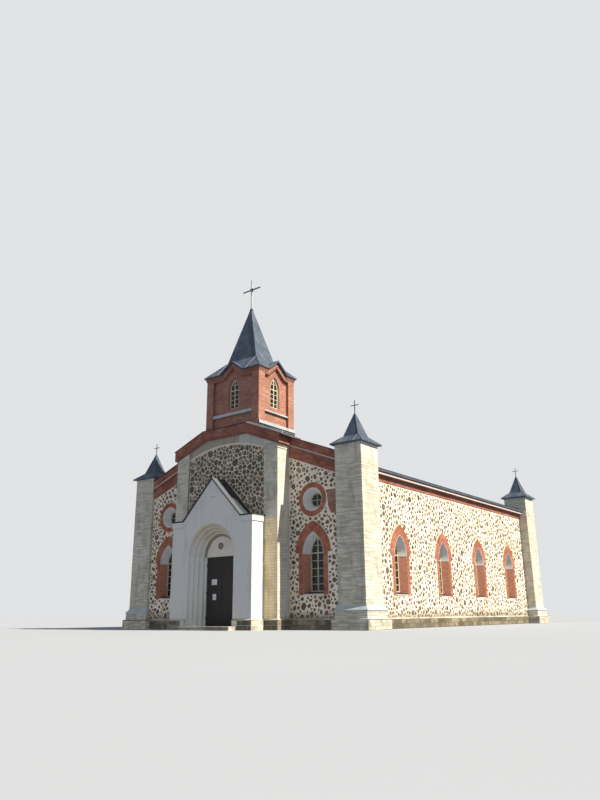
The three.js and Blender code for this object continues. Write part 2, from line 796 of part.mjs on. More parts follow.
// Door leaves and the frame that they close against, with pintles that carry the leaves' knuckles
const hingeX = doorHalf - hingeInset;

function hingePin(z0, z1) {
  const pin = new THREE.CylinderGeometry(hingeRadius, hingeRadius, z1 - z0, hingeSides);
  return solid(pin.rotateX(Math.PI / 2).translate(hingeX, leafFrontY - hingeRadius, (z0 + z1) / 2));
}

function doorLeaves() {
  let leaf = box(leafMiddleGap, doorHalf - leafSideGap, leafFrontY, leafFrontY + leafThickness,
    leafBottom, leafTop);
  for (const z of hingeHeights) {
    leaf = leaf.add(hingePin(z + gap, z + hingeBarrel));
    leaf = leaf.add(box(hingeX - hingeStrap, hingeX, leafFrontY - hingeRadius, leafFrontY + overlap,
      z + gap, z + hingeBarrel));
  }
  addPair('door_leaf', leaf, darkWood);
}

function doorFrame() {
  const side = doorHalf - gap;
  const inside = side - framePost;
  const head = doorHead - gap;
  const foot = floorTop + gap;
  let frame = alongY([
    [-side, foot], [-inside, foot], [-inside, head - frameHead], [inside, head - frameHead],
    [inside, foot], [side, foot], [side, head], [-side, head],
  ], frameFrontY, frameBackY);
  for (const z of hingeHeights) {
    const plate = box(side - hingePlate, side, leafFrontY - 2 * hingeRadius, frameFrontY + overlap,
      z - hingeBarrel, z);
    const pintle = hingePin(z - hingeBarrel, z).add(plate);
    frame = frame.add(pintle).add(mirrorX(pintle));
  }
  add('door_frame', shape3d(frame), darkWood);
}

centralWalls();
bayPilasters();
centralCornice();
sideBays();
longWalls();
rearGable();
turrets();
naveRoof();
naveFloor();
tower();
towerRoof();
towerCross();
porchPiers();
porchGable();
porchRoof();
entranceSteps();
doorLeaves();
doorFrame();

export default group;
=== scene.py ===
# Rural stone church: the finish of every surface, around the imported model
# Metres, +Z up, ground at z = 0, +Y into the building, y = 0 on the front face of the middle bay
import math
import random

import bmesh
import bpy
from mathutils import Matrix, Vector


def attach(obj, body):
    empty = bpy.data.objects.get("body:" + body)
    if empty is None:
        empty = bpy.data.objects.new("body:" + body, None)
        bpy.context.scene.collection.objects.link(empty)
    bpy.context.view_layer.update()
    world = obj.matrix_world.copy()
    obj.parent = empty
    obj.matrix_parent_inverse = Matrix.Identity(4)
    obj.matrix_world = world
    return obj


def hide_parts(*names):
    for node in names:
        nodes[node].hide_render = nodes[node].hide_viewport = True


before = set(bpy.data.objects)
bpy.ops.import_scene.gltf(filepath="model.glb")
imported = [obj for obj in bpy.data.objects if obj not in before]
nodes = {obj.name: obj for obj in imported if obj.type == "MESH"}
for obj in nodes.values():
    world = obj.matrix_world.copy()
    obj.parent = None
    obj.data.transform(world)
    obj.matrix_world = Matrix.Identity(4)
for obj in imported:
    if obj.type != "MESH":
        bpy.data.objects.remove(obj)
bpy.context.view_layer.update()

# Camera: its place and angles follow the photograph, taken as 600 by 800 pixels
CAMERA_PLACE = (20.825, -21.83, 0.561)
CAMERA_YAW = 37.295
CAMERA_PITCH = 17.248
CAMERA_ROLL = -0.502
LENS_MM = 31.155
SENSOR_MM = 36

# Light: a slightly warm key from the right, a little behind the front, and a cool fill from all round
KEY_DIRECTION = (0.709, 0.0993, 0.6982)
KEY_STRENGTH = 8.0
KEY_COLOUR = "#fff2dc"
KEY_ANGLE = 0.8
FILL_STRENGTH = 0.4
FILL_COLOUR = "#f1f5ff"
BACKDROP_COLOUR = "#e6e8ea"
BACKDROP_STRENGTH = 0.95

# Plan and heights of the walls
BAY_FACE = 0.765
PANEL_FACE = 0.07
PILASTER_INNER = 2.25
PILASTER_OUTER = 3.0
TURRET_INNER = 5.42
TURRET_OUTER = 6.67
TURRET_FRONT = 0.66
TURRET_BACK = 1.91
SIDE_FACE = 6.2
MIDDLE_Y = 10.2
REAR_FACE = 2 * MIDDLE_Y - BAY_FACE
PLINTH_TOP = 0.395
PLINTH_STEP = 0.05
ROOF_SLOPE = 0.394

# Windows, shared by the bays and the long walls
WINDOW_X = 4.213
WINDOW_HALF = 0.505
WINDOW_SILL = 1.36
WINDOW_SPRING = 2.93
WINDOW_APEX = 3.756
GLASS_HALF = 0.35
GLASS_SILL = 1.42
GLASS_APEX = 3.56
SPLAY_DEPTH = 0.3
SURROUND_PROUD = 0.025
JAMB_WIDTH = 0.21
HEAD_HAUNCH = 0.36
HEAD_CROWN = 0.43
SIDE_WINDOWS = [4.2, 8.2, 12.2, 16.2]
OCULUS_Z = 5.046
OCULUS_RADIUS = 0.48
OCULUS_GLASS = 0.31
OCULUS_RING = 0.21

# Brick: a fired brick of 250 by 65 mm with a joint of 10 mm
BRICK_LENGTH = 0.26
BRICK_COURSE = 0.075
BRICK_JOINT = 0.01
BRICK_RISE = 0.004


# Colours and nodes

def linear(code):
    """sRGB hex colour as linear red, green, blue and alpha"""
    channels = [int(code[i:i + 2], 16) / 255 for i in (1, 3, 5)]
    return [c / 12.92 if c <= 0.04045 else ((c + 0.055) / 1.055) ** 2.4 for c in channels] + [1.0]


def add(tree, kind, inputs=None, stops=None, **settings):
    """Adds a node with its settings; an input is a value or another node's output, stops fill a ramp"""
    made = tree.nodes.new(kind)
    for key, value in settings.items():
        setattr(made, key, value)
    for key, value in (inputs or {}).items():
        if isinstance(value, bpy.types.NodeSocket):
            tree.links.new(value, made.inputs[key])
        else:
            made.inputs[key].default_value = value
    if stops:
        ramp = made.color_ramp
        while len(ramp.elements) < len(stops):
            ramp.elements.new(1)
        for element, (place, code) in zip(ramp.elements, stops):
            element.position = place
            element.color = linear(code)
    return made


def new_material(name, roughness, specular, metallic=0.0):
    material = bpy.data.materials.new(name)
    material.use_nodes = True
    tree = material.node_tree
    shader = tree.nodes["Principled BSDF"]
    shader.inputs["Roughness"].default_value = roughness
    shader.inputs["Metallic"].default_value = metallic
    shader.inputs["Specular IOR Level"].default_value = specular
    place = add(tree, "ShaderNodeTexCoord").outputs["Object"]
    return material, tree, shader, place


def noise(tree, place, size, detail=3.0, stretch=(1, 1, 1), rough=0.5):
    """Soft noise whose blotches measure about size metres, shrunk along each axis by stretch"""
    placed = add(tree, "ShaderNodeMapping", {"Vector": place, "Scale": stretch})
    return add(tree, "ShaderNodeTexNoise", {
        "Vector": placed.outputs["Vector"], "Scale": 1 / size, "Detail": detail, "Roughness": rough,
    }).outputs["Fac"]


def fade(tree, value, low, high):
    """Turns a value into a mask that rises from 0 at low to 1 at high"""
    return add(tree, "ShaderNodeMapRange", {"Value": value, "From Min": low, "From Max": high},
               interpolation_type="SMOOTHSTEP").outputs["Result"]


def product(tree, first, second):
    return add(tree, "ShaderNodeMath", {0: first, 1: second}, operation="MULTIPLY").outputs["Value"]


def blend(tree, mask, under, over, mode="MIX"):
    mixed = add(tree, "ShaderNodeMix", {"Factor": mask}, data_type="RGBA", blend_type=mode)
    for socket, colour in (("A", under), ("B", over)):
        target = next(s for s in mixed.inputs if s.name == socket and s.type == "RGBA")
        if isinstance(colour, str):
            target.default_value = linear(colour)
        else:
            tree.links.new(colour, target)
    return next(s for s in mixed.outputs if s.type == "RGBA")


def stained(tree, place, under, over, size, low, high, mode="MIX", **look):
    """Blotches of a second colour, about size metres wide, where the noise rises from low to high"""
    return blend(tree, fade(tree, noise(tree, place, size, **look), low, high), under, over, mode)


def by_tone(tree, stops, steps="LINEAR"):
    """Colour that every stone or brick has by its own tone"""
    tone = add(tree, "ShaderNodeAttribute", attribute_name="tone").outputs["Fac"]
    ramp = add(tree, "ShaderNodeValToRGB", {"Fac": tone}, stops=stops)
    ramp.color_ramp.interpolation = steps
    return ramp.outputs["Color"]


def grained(tree, colour, grain, strength, dark, pale):
    """Lays the dark and pale specks of a grain over a colour"""
    specks = add(tree, "ShaderNodeValToRGB", {"Fac": grain}, stops=[dark, pale]).outputs["Color"]
    return blend(tree, strength, colour, specks, "OVERLAY")


def below(tree, place, top, bottom):
    """Mask that rises from 0 at one height above the ground to 1 at a lower one"""
    height = add(tree, "ShaderNodeSeparateXYZ", {"Vector": place}).outputs["Z"]
    return fade(tree, height, top, bottom)


def paint(tree, shader, colour, height=None, depth=0.01):
    """Links the colour and, from a height between 0 and 1, a bump of the given depth in metres"""
    tree.links.new(colour, shader.inputs["Base Color"])
    if height is not None:
        bump = add(tree, "ShaderNodeBump", {"Height": height, "Strength": 0.8, "Distance": depth})
        tree.links.new(bump.outputs["Normal"], shader.inputs["Normal"])


# Materials

def lime_mortar(name, pale, dark, patch):
    """Lime mortar between stones: sandy, blotched by damp, pale where it was pointed anew"""
    material, tree, shader, place = new_material(name, 0.95, specular=0.2)
    colour = stained(tree, place, pale, dark, patch, 0.35, 0.65)
    colour = blend(tree, below(tree, place, 0.9, 0.2), colour, "#6f6c60")
    grit = noise(tree, place, 0.03, detail=5)
    colour = grained(tree, colour, grit, 0.35, (0.3, "#7c786e"), (0.7, "#d9d6ca"))
    paint(tree, shader, colour, grit, 0.012)
    return material


def fieldstone(name, stops):
    """Split granite boulders: each stone has one tone, with mineral speckle and worn round edges"""
    material, tree, shader, place = new_material(name, 0.8, specular=0.35)
    speckle = noise(tree, place, 0.02, detail=4, rough=0.7)
    colour = by_tone(tree, stops, "CONSTANT")
    colour = grained(tree, colour, speckle, 0.45, (0.35, "#55504a"), (0.65, "#c8c0b4"))
    colour = stained(tree, place, colour, "#5a564e", 0.12, 0.5, 0.75)
    paint(tree, shader, colour, noise(tree, place, 0.05, detail=5), 0.015)
    return material


def fired_brick(name, stops, soot):
    """Hand-moulded red brick: each brick has its own tone, rough sanded faces, broad blotches of soot"""
    material, tree, shader, place = new_material(name, 0.85, specular=0.25)
    grain = noise(tree, place, 0.015, detail=4)
    colour = grained(tree, by_tone(tree, stops), grain, 0.3, (0.3, "#6e625d"), (0.7, "#b9aea8"))
    colour = stained(tree, place, colour, soot, 0.9, 0.35, 0.75, mode="MULTIPLY")
    paint(tree, shader, colour, grain, 0.004)
    return material


def rubbed_brick():
    """Smooth brick reveals: bricks rubbed flush, with a thin pale joint every course and mottled tones"""
    material, tree, shader, place = new_material("rubbed_brick_reveal", 0.85, specular=0.25)
    height = add(tree, "ShaderNodeSeparateXYZ", {"Vector": place}).outputs["Z"]
    within = add(tree, "ShaderNodeMath", {0: height, 1: BRICK_COURSE},
                 operation="FLOORED_MODULO").outputs["Value"]
    colour = stained(tree, place, "#b07861", "#c28c75", 0.14, 0.35, 0.65, stretch=(1, 1, 1.9))
    joint = fade(tree, within, BRICK_COURSE - BRICK_JOINT - 0.002, BRICK_COURSE - BRICK_JOINT)
    colour = blend(tree, joint, colour, "#a48578")
    paint(tree, shader, colour, noise(tree, place, 0.015, detail=4), 0.004)
    return material


def limewashed_limestone(name, stops, limewash, damp, soot=0.0):
    """Coursed limestone with streaks of old limewash, and painted shade on the rough courses under a clean
    top
    """
    material, tree, shader, place = new_material(name, 0.9, specular=0.25)
    colour = by_tone(tree, stops)
    colour = stained(tree, place, colour, limewash, 0.8, 0.4, 0.65, detail=5, stretch=(1, 1, 0.5))
    colour = stained(tree, place, colour, damp, 0.3, 0.5, 0.75, detail=6, stretch=(1, 1, 0.3))
    # Painted shade: dark streaks along the courses stand for the shadows under rough ledges; soot sets how
    # strong it is
    ledges = fade(tree, noise(tree, place, 0.6, stretch=(1, 1, 8), rough=0.4), 0.42, 0.62)
    painted_course_shade = product(tree, product(tree, ledges, below(tree, place, 6.7, 6.3)), soot)
    colour = blend(tree, painted_course_shade, colour, "#7c7f74")
    grain = noise(tree, place, 0.03, detail=5)
    colour = grained(tree, colour, grain, 0.25, (0.3, "#6f6c60"), (0.7, "#e4e0d0"))
    paint(tree, shader, colour, grain, 0.008)
    return material


def plinth_stone(name, stops, stain):
    """Rough plinth blocks: each block has its own tone, with moss and damp stains across the joints"""
    material, tree, shader, place = new_material(name, 0.85, specular=0.3)
    colour = stained(tree, place, by_tone(tree, stops), stain, 0.3, 0.45, 0.7, detail=5)
    paint(tree, shader, colour, noise(tree, place, 0.03, detail=5), 0.012)
    return material


def lime_plaster(name, clean, stain, smudge, foot=None):
    """Trowelled lime plaster with runs of damp and grey scuffs; the foot of an arch is repainted"""
    material, tree, shader, place = new_material(name, 0.85, specular=0.25)
    colour = stained(tree, place, clean, stain, 0.35, 0.5, 0.75, detail=5, stretch=(1, 1, 0.25))
    colour = stained(tree, place, colour, smudge, 0.11, 0.66, 0.76, detail=6, stretch=(1, 1, 2))
    if foot:
        colour = blend(tree, below(tree, place, 4.0, 3.3), colour, foot)
    paint(tree, shader, colour, noise(tree, place, 0.09, detail=4), 0.006)
    return material


def sheet_metal(name, base, weathered, roughness):
    """Painted roofing steel: dull grey, chalky where the paint has weathered, slightly dished"""
    material, tree, shader, place = new_material(name, roughness, specular=0.4, metallic=0.15)
    colour = stained(tree, place, base, weathered, 0.45, 0.4, 0.7, detail=5)
    colour = stained(tree, place, colour, "#76746f", 0.08, 0.62, 0.75, detail=4)
    paint(tree, shader, colour, noise(tree, place, 0.35, detail=2), 0.012)
    return material


def painted_wood(name, base, worn_paint):
    """Oil-painted softwood: the grain shows as fine ridges along the board"""
    material, tree, shader, place = new_material(name, 0.5, specular=0.4)
    ridge = noise(tree, place, 0.03, detail=4, stretch=(1, 1, 0.06))
    colour = blend(tree, fade(tree, ridge, 0.45, 0.7), base, worn_paint)
    paint(tree, shader, colour, ridge, 0.002)
    return material


def blotched(name, roughness, under, over, blotch, bump, detail=3.0, specular=0.2):
    """Two colours in blotches of a size that fade from low to high, and a bump of size, detail and depth"""
    material, tree, shader, place = new_material(name, roughness, specular=specular)
    size, low, high = blotch
    colour = stained(tree, place, under, over, size, low, high, detail=detail)
    size, fineness, depth = bump
    paint(tree, shader, colour, noise(tree, place, size, detail=fineness), depth)
    return material


def studio_floor():
    """Plain matt studio floor"""
    material, tree, shader, place = new_material("studio_floor", 1.0, specular=0.0)
    colour = blend(tree, noise(tree, place, 4.0), "#9fa6b1", "#a3aab5")
    paint(tree, shader, colour)
    return material


# What the blocks' tone means, from 0 to 1
TOWER_TONES = [(0.0, "#ab7b6d"), (0.35, "#b28375"), (0.7, "#b88b7b"), (1.0, "#c29889")]
CORNICE_TONES = [(0.0, "#986254"), (0.35, "#a36a5c"), (0.7, "#ad7466"), (1.0, "#b68172")]
RING_TONES = [(0.0, "#a46853"), (0.4, "#b0705a"), (0.8, "#bb7c63"), (1.0, "#c58a6f")]
DUSTY_TONES = [(0.0, "#937061"), (0.35, "#9d786a"), (0.7, "#a78474"), (1.0, "#b09283")]
BAY_STONES = [(0.0, "#6e665b"), (0.35, "#7e7567"), (0.6, "#8b7f6f"), (0.74, "#8f6958"),
              (0.84, "#a59b8b"), (0.93, "#5a524a")]
PANEL_STONES = [(0.0, "#675f54"), (0.35, "#7a7163"), (0.6, "#887d6a"), (0.8, "#8d7a6f"),
                (0.9, "#9c9688"), (0.96, "#514a43")]
GRANITE_BLOCKS = [(0.0, "#5f594c"), (0.4, "#766e5f"), (0.8, "#8d836f"), (1.0, "#a09784")]
PALE_BLOCKS = [(0.0, "#aaa798"), (0.4, "#bdb9a9"), (0.8, "#cdc9b8"), (1.0, "#d6d2c2")]
GREY_COURSES = [(0.0, "#babab0"), (0.3, "#c6c5bb"), (0.6, "#d0cec4"), (1.0, "#dad8ce")]
BOUNCE_LIT_COURSES = [(0.0, "#c9b993"), (0.3, "#d2c3a0"), (0.6, "#dccdaa"), (1.0, "#e4d6b4")]

MORTAR_BAY = lime_mortar("lime_mortar_pale", "#f7efe3", "#e6dccd", 0.9)
MORTAR_PANEL = lime_mortar("lime_mortar_grey", "#e4e0d3", "#d0cabb", 1.1)
STONE_BAY = fieldstone("granite_fieldstone", BAY_STONES)
STONE_PANEL = fieldstone("brown_granite_fieldstone", PANEL_STONES)
TOWER_BRICK = fired_brick("fired_orange_brick", TOWER_TONES, "#e6ddd8")
BRICK = fired_brick("fired_red_brick", CORNICE_TONES, "#d9cbc4")
RING_BRICK = fired_brick("fired_dark_red_brick", RING_TONES, "#d9cbc4")
LINING_BRICK = rubbed_brick()
DUSTY_BRICK = fired_brick("dusty_toothing_brick", DUSTY_TONES, "#d9cbc4")
# Flush lime joints between bricks, stained red by the brick dust
BRICK_MORTAR = blotched("brick_joint_mortar", 0.95, "#a5877a", "#94796e", (0.7, 0.4, 0.65), (0.02, 4, 0.005))
LIMESTONE = limewashed_limestone("limewashed_limestone", GREY_COURSES, "#dddbd1", "#b0b0a7")
# Limestone of the turrets, with painted shade on its rough courses
LIMESTONE_PAINTED_SHADE = limewashed_limestone("limestone_painted_course_shade", GREY_COURSES, "#dddbd1", "#b0b0a7", soot=0.36)
# Warm pale courses on the foot of the right pilaster: painted bounce light from the sunlit side of the porch
LIMESTONE_PAINTED_BOUNCE = limewashed_limestone("limestone_painted_bounce_light", BOUNCE_LIT_COURSES, "#f0e2c4", "#cdbb98")
# Weathered mortar beds between the limestone courses, darker than the blocks
LIMESTONE_BED = blotched("limestone_bed_mortar", 0.95, "#b5b3a6", "#a3a195", (0.4, 0.4, 0.6),
                         (0.025, 4, 0.006))
PLINTH = plinth_stone("plinth_granite", GRANITE_BLOCKS, "#5c5945")
PALE_PLINTH = plinth_stone("plinth_limestone", PALE_BLOCKS, "#99968a")
PLASTER = lime_plaster("white_lime_plaster", "#dedfdd", "#cfd0cd", "#a9aaa6")
PORTAL_PLASTER = lime_plaster("cream_lime_plaster", "#efe6d2", "#dfd4bd", "#c9bda6", "#edeee8")
# Dark olive ring inside the innermost arch: painted shade of its soffit
SOFFIT_PAINTED_SHADE = lime_plaster("olive_plaster_painted_shade", "#a39d86", "#8f8973", "#7d7763")
# Darker copy of the cream portal plaster for the coats in the arch's steps: painted shade
PORTAL_SHADE = lime_plaster("tan_lime_plaster_painted_shade", "#d9d0be", "#c9bfab", "#ab9f8b", "#e6e7e2")
BAND_PLASTER = lime_plaster("grey_lime_plaster", "#bfc2bb", "#b3b6af", "#93a08c")
BROWN_PLASTER = lime_plaster("brown_weathered_plaster", "#a7a396", "#8d897c", "#757167")
JAMB_PLASTER = lime_plaster("grey_white_lime_plaster", "#eceeea", "#dcdeda", "#c6c8c4")
HEAD_PLASTER = lime_plaster("beige_lime_plaster", "#ece8dd", "#dcd7c9", "#c2bcad")
ROOF_METAL = sheet_metal("painted_roofing_steel", "#435166", "#5b6673", 0.5)
PALE_METAL = sheet_metal("white_painted_flashing", "#b7c2c7", "#a3afb5", 0.5)
BLUE_METAL = sheet_metal("blue_grey_painted_flashing", "#b9c4ca", "#a5b1b9", 0.5)
SEAM_METAL = sheet_metal("sealed_roofing_seam", "#6f7780", "#5f6771", 0.6)
GREY_METAL = sheet_metal("pale_grey_painted_flashing", "#cfc8c4", "#bab3af", 0.5)
VERGE_METAL = sheet_metal("lilac_grey_painted_flashing", "#656b75", "#5b6069", 0.5)
# Near-black sheet under the tower's kerb: painted shadow
SHADOW_GAP_METAL = sheet_metal("black_painted_shadow_flashing", "#15181b", "#1e2225", 0.7)
RUST_METAL = sheet_metal("weathered_brown_metal", "#6f685f", "#5a5148", 0.6)
DARK_METAL = sheet_metal("dark_painted_flashing", "#31363d", "#3d4247", 0.5)
FRAME_PAINT = painted_wood("cream_painted_window_wood", "#c4c1aa", "#aeab97")
DOOR_PAINT = painted_wood("dark_brown_painted_boards", "#2a2625", "#322d2b")
# Old drawn glass in front of a dark room: smooth with a slight wave
GLASS = blotched("drawn_window_glass", 0.06, "#14181a", "#2b3433", (0.5, 0.4, 0.65), (0.3, 1, 0.003),
                 specular=0.5)
# Cast concrete worn by feet and frost: fine aggregate, darker damp blotches
CONCRETE = blotched("worn_concrete", 0.9, "#c4bfb0", "#98948a", (0.5, 0.4, 0.65), (0.02, 5, 0.006),
                    detail=5, specular=0.25)
# Plain white office paper
PAPER = blotched("blank_paper", 0.8, "#e9edf2", "#d5dbe2", (0.06, 0.4, 0.7), (0.05, 1, 0.001), specular=0.5)


# Shaping helpers

def wall_frame(x, y, turn):
    """Axes of a wall: x to the right seen from outside, y into the wall, z up"""
    return Matrix.Translation((x, y, 0)) @ Matrix.Rotation(math.radians(turn), 4, "Z")


FRONT_BAY = wall_frame(0, BAY_FACE, 0)
FRONT_PANEL = wall_frame(0, PANEL_FACE, 0)
RIGHT_WALL = wall_frame(SIDE_FACE, 0, 90)
LEFT_WALL = wall_frame(-SIDE_FACE, 0, -90)
REAR_WALL = wall_frame(0, REAR_FACE, 180)
MIRROR_X = Matrix.Diagonal((-1, 1, 1, 1))
MIRROR_Y = Matrix.Translation((0, 2 * MIDDLE_Y, 0)) @ Matrix.Diagonal((1, -1, 1, 1))
SIDES = (("right", 1, RIGHT_WALL), ("left", -1, LEFT_WALL))


def face_outwards(bm):
    """Turns the shells round that face inwards, as after a mirror"""
    # New and turned faces still have old normals, and a shell would be turned to suit those
    bm.normal_update()
    bmesh.ops.recalc_face_normals(bm, faces=bm.faces)


def finish_piece(name, bm, material, body="building", sharp=None):
    """Turns the shells of a bmesh outwards and makes its object"""
    face_outwards(bm)
    return make_piece(name, bm, material, body, sharp)


def make_piece(name, bm, material, body, sharp):
    """Makes the object of a finished bmesh and lets it ride on a body"""
    mesh = bpy.data.meshes.new(name)
    bm.to_mesh(mesh)
    bm.free()
    if sharp is not None:
        mesh.shade_smooth()
        mesh.set_sharp_from_angle(angle=math.radians(sharp))
    mesh.materials.append(material)
    piece = bpy.data.objects.new(name, mesh)
    bpy.context.scene.collection.objects.link(piece)
    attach(piece, body)
    return piece


def only_faces(geometry):
    return [g for g in geometry if isinstance(g, bmesh.types.BMFace)]


def only_verts(geometry):
    return [g for g in geometry if isinstance(g, bmesh.types.BMVert)]


def flat_face(bm, outline, y=0.0, tone=0.5):
    """One face on the wall plane, from points in x and z"""
    layer = tone_layer(bm)
    face = bm.faces.new([bm.verts.new((x, y, z)) for x, z in outline])
    face.normal_update()
    if face.normal.y > 0:
        face.normal_flip()
    face[layer] = tone
    return face


def tone_layer(bm):
    return bm.faces.layers.float.get("tone") or bm.faces.layers.float.new("tone")


def raise_blocks(bm, faces, steps):
    """Turns flat faces into closed blocks; each step insets the outer face and lifts it"""
    under = only_faces(bmesh.ops.duplicate(bm, geom=faces)["geom"])
    bmesh.ops.reverse_faces(bm, faces=under)
    for inset, rise in steps:
        bmesh.ops.inset_individual(bm, faces=faces, thickness=inset, depth=rise, use_even_offset=True)
    bmesh.ops.remove_doubles(bm, verts=bm.verts, dist=1e-5)


def thicken(bm, faces, way):
    """Closes flat faces to plates by moving a copy of them"""
    grown = bmesh.ops.extrude_face_region(bm, geom=faces, use_keep_orig=True)["geom"]
    bmesh.ops.translate(bm, verts=only_verts(grown), vec=way)


def slab(bm, outline, front, back):
    """Closed plate from an outline in x and z, between two depths"""
    thicken(bm, [flat_face(bm, outline, front)], (0, back - front, 0))


def block(bm, low, high, bevel=0.0):
    """Box between two corners, with its edges bevelled"""
    size = Vector(high) - Vector(low)
    centre = (Vector(high) + Vector(low)) / 2
    made = bmesh.ops.create_cube(bm, size=1, matrix=Matrix.Translation(centre) @ Matrix.Diagonal((*size, 1)))
    if bevel:
        edges = list({edge for vert in made["verts"] for edge in vert.link_edges})
        bmesh.ops.bevel(bm, geom=edges, offset=bevel, offset_type="OFFSET", segments=1, profile=0.5,
                        affect="EDGES", material=-1)


def add_copy(bm, other, matrix):
    """Adds a placed copy of one bmesh to another"""
    mesh = bpy.data.meshes.new("scratch")
    other.to_mesh(mesh)
    mesh.transform(matrix)
    bm.from_mesh(mesh)
    bpy.data.meshes.remove(mesh)


def merge(bm, other, matrix=Matrix.Identity(4)):
    """Moves one bmesh into another and places it there"""
    add_copy(bm, other, matrix)
    other.free()


def mirrored(bm, *matrices):
    """Adds mirrored copies of everything in the bmesh"""
    for matrix in matrices:
        add_copy(bm, bm, matrix)


def rectangle(x0, x1, z0, z1):
    return [(x0, z0), (x1, z0), (x1, z1), (x0, z1)]


def flipped(outline):
    """Outline of the other side of the building"""
    return [(-x, z) for x, z in reversed(outline)]


def spaced(low, high, count):
    return [low + (high - low) * i / count for i in range(count + 1)]


def beside(centre, side, near, far):
    """Lower and higher x of a strip that lies on one side of a centre"""
    return sorted((centre + side * near, centre + side * far))


def arch(half, spring, apex, steps, centre=0.0):
    """Points of a pointed or round head, from its right spring over the apex to its left spring"""
    rise = apex - spring
    radius = (half * half + rise * rise) / (2 * half)
    whole = math.atan2(rise, radius - half)
    turns = [whole * i / steps for i in range(steps + 1)]
    right = [(half - radius + radius * math.cos(t), spring + radius * math.sin(t)) for t in turns]
    return [(centre + x, z) for x, z in right + flipped(right[:-1])]


def circle(radius, steps, centre):
    turns = [2 * math.pi * i / steps for i in range(steps)]
    return [(centre[0] + radius * math.cos(t), centre[1] + radius * math.sin(t)) for t in turns]


def mix(a, b, share):
    """Point that lies the given share of the way from one point to another"""
    return a[0] + (b[0] - a[0]) * share, a[1] + (b[1] - a[1]) * share


# Coursed masonry

SHARPEST_CORNER = 0.35


def cut(bm, geometry, point, normal):
    faces = only_faces(geometry)
    whole = set(faces)
    for face in faces:
        whole.update(face.edges)
        whole.update(face.verts)
    done = bmesh.ops.bisect_plane(bm, geom=list(whole), dist=1e-5, plane_co=point, plane_no=normal)
    return only_faces(done["geom"])


def sharpest(face):
    """Smallest angle between two edges of a face"""
    return min(loop.calc_angle() for loop in face.loops)


def drop_slivers(bm, joint):
    """Joins corners that lie close together, and takes out faces that are too thin or sharp to lay"""
    bmesh.ops.dissolve_degenerate(bm, dist=0.5 * joint, edges=bm.edges)
    small = [f for f in bm.faces
             if 2 * f.calc_area() / f.calc_perimeter() < 1.2 * joint or sharpest(f) < SHARPEST_CORNER]
    bmesh.ops.delete(bm, geom=small, context="FACES")


def open_joints(bm, faces, joint):
    """Shrinks faces by half a joint all round"""
    frames = bmesh.ops.inset_individual(bm, faces=faces, thickness=joint / 2, use_even_offset=True)["faces"]
    bmesh.ops.delete(bm, geom=frames, context="FACES")


def lay_courses(outline, course, length, joint, rng, ragged, tilt):
    """Flat block faces in courses that fill an outline; ragged varies lengths, tilt slopes the courses"""
    bm = bmesh.new()
    tone = tone_layer(bm)
    flat_face(bm, outline)
    bmesh.ops.rotate(bm, verts=bm.verts, cent=(0, 0, 0), matrix=Matrix.Rotation(tilt, 3, "Y"))
    low = min(v.co.z for v in bm.verts)
    high = max(v.co.z for v in bm.verts)
    left = min(v.co.x for v in bm.verts)
    rows = max(1, round((high - low) / course))
    step = (high - low) / rows
    for row in range(1, rows):
        cut(bm, bm.faces, Vector((0, 0, low + row * step)), Vector((0, 0, 1)))
    in_row = {}
    for face in bm.faces:
        in_row.setdefault(int((face.calc_center_median().z - low) / step), []).append(face)
    for row, faces in in_row.items():
        x = left + (length / 2 if row % 2 else 0) - length
        end = max(v.co.x for f in faces for v in f.verts)
        while x < end:
            x += length * (1 + rng.uniform(-ragged, ragged))
            right = [f for f in faces if max(v.co.x for v in f.verts) > x]
            faces = cut(bm, right, Vector((x, 0, 0)), Vector((1, 0, 0)))
    drop_slivers(bm, joint)
    open_joints(bm, bm.faces[:], joint)
    drop_slivers(bm, joint)
    for face in bm.faces:
        face[tone] = rng.random()
    bmesh.ops.rotate(bm, verts=bm.verts, cent=(0, 0, 0), matrix=Matrix.Rotation(-tilt, 3, "Y"))
    return bm


def coursed_blocks(bm, outline, matrix, rng, rise, course, length, joint, ragged=0.0, tilt=0.0, bevel=0.0):
    """Adds closed blocks in courses that fill an outline on a wall"""
    laid = lay_courses(outline, course, length, joint, rng, ragged, tilt)
    raise_blocks(laid, laid.faces[:], [(0.0, rise - bevel), (bevel, bevel)] if bevel else [(0.0, rise)])
    merge(bm, laid, matrix)


def lay_bricks(bm, outline, rng, y=0.0, tilt=0.0, matrix=Matrix.Identity(4)):
    """Adds brickwork that fills an outline at a depth; tilt slopes its courses"""
    coursed_blocks(bm, outline, matrix @ Matrix.Translation((0, y, 0)), rng, BRICK_RISE, BRICK_COURSE,
                   BRICK_LENGTH, BRICK_JOINT, tilt=tilt)


def ring_bricks(bm, outer, inner, count, rng, y):
    """Bricks side by side between two curves with the same number of points"""
    faces = []
    total = len(outer) - 1
    for i in range(count):
        a, b = i / count * total, min((i + 1) / count * total, total)
        corners = [point_at(outer, a), point_at(outer, b), point_at(inner, b), point_at(inner, a)]
        faces.append(flat_face(bm, corners, y, rng.random()))
    open_joints(bm, faces, BRICK_JOINT)
    raise_blocks(bm, faces, [(0.0, BRICK_RISE)])


def point_at(line, place):
    """Point on a line of points, by its place in the row"""
    i = min(int(place), len(line) - 2)
    return mix(line[i], line[i + 1], place - i)


# Rubble masonry

# Shares of a stone's radius that its centre keeps from the wall's edge, other stones and what is kept out
EDGE_ROOM = 0.75
STONE_ROOM = 0.82
SHAPE_ROOM = 0.8
GRID_CELL = 0.4
SMALLEST_REACH = 0.018
BLUNT_SHARE = 0.24


def edges_of(outline):
    return zip(outline, outline[1:] + outline[:1])


def limits(outline):
    """Lowest and highest coordinates of an outline"""
    return [min(p[k] for p in outline) for k in (0, 1)], [max(p[k] for p in outline) for k in (0, 1)]


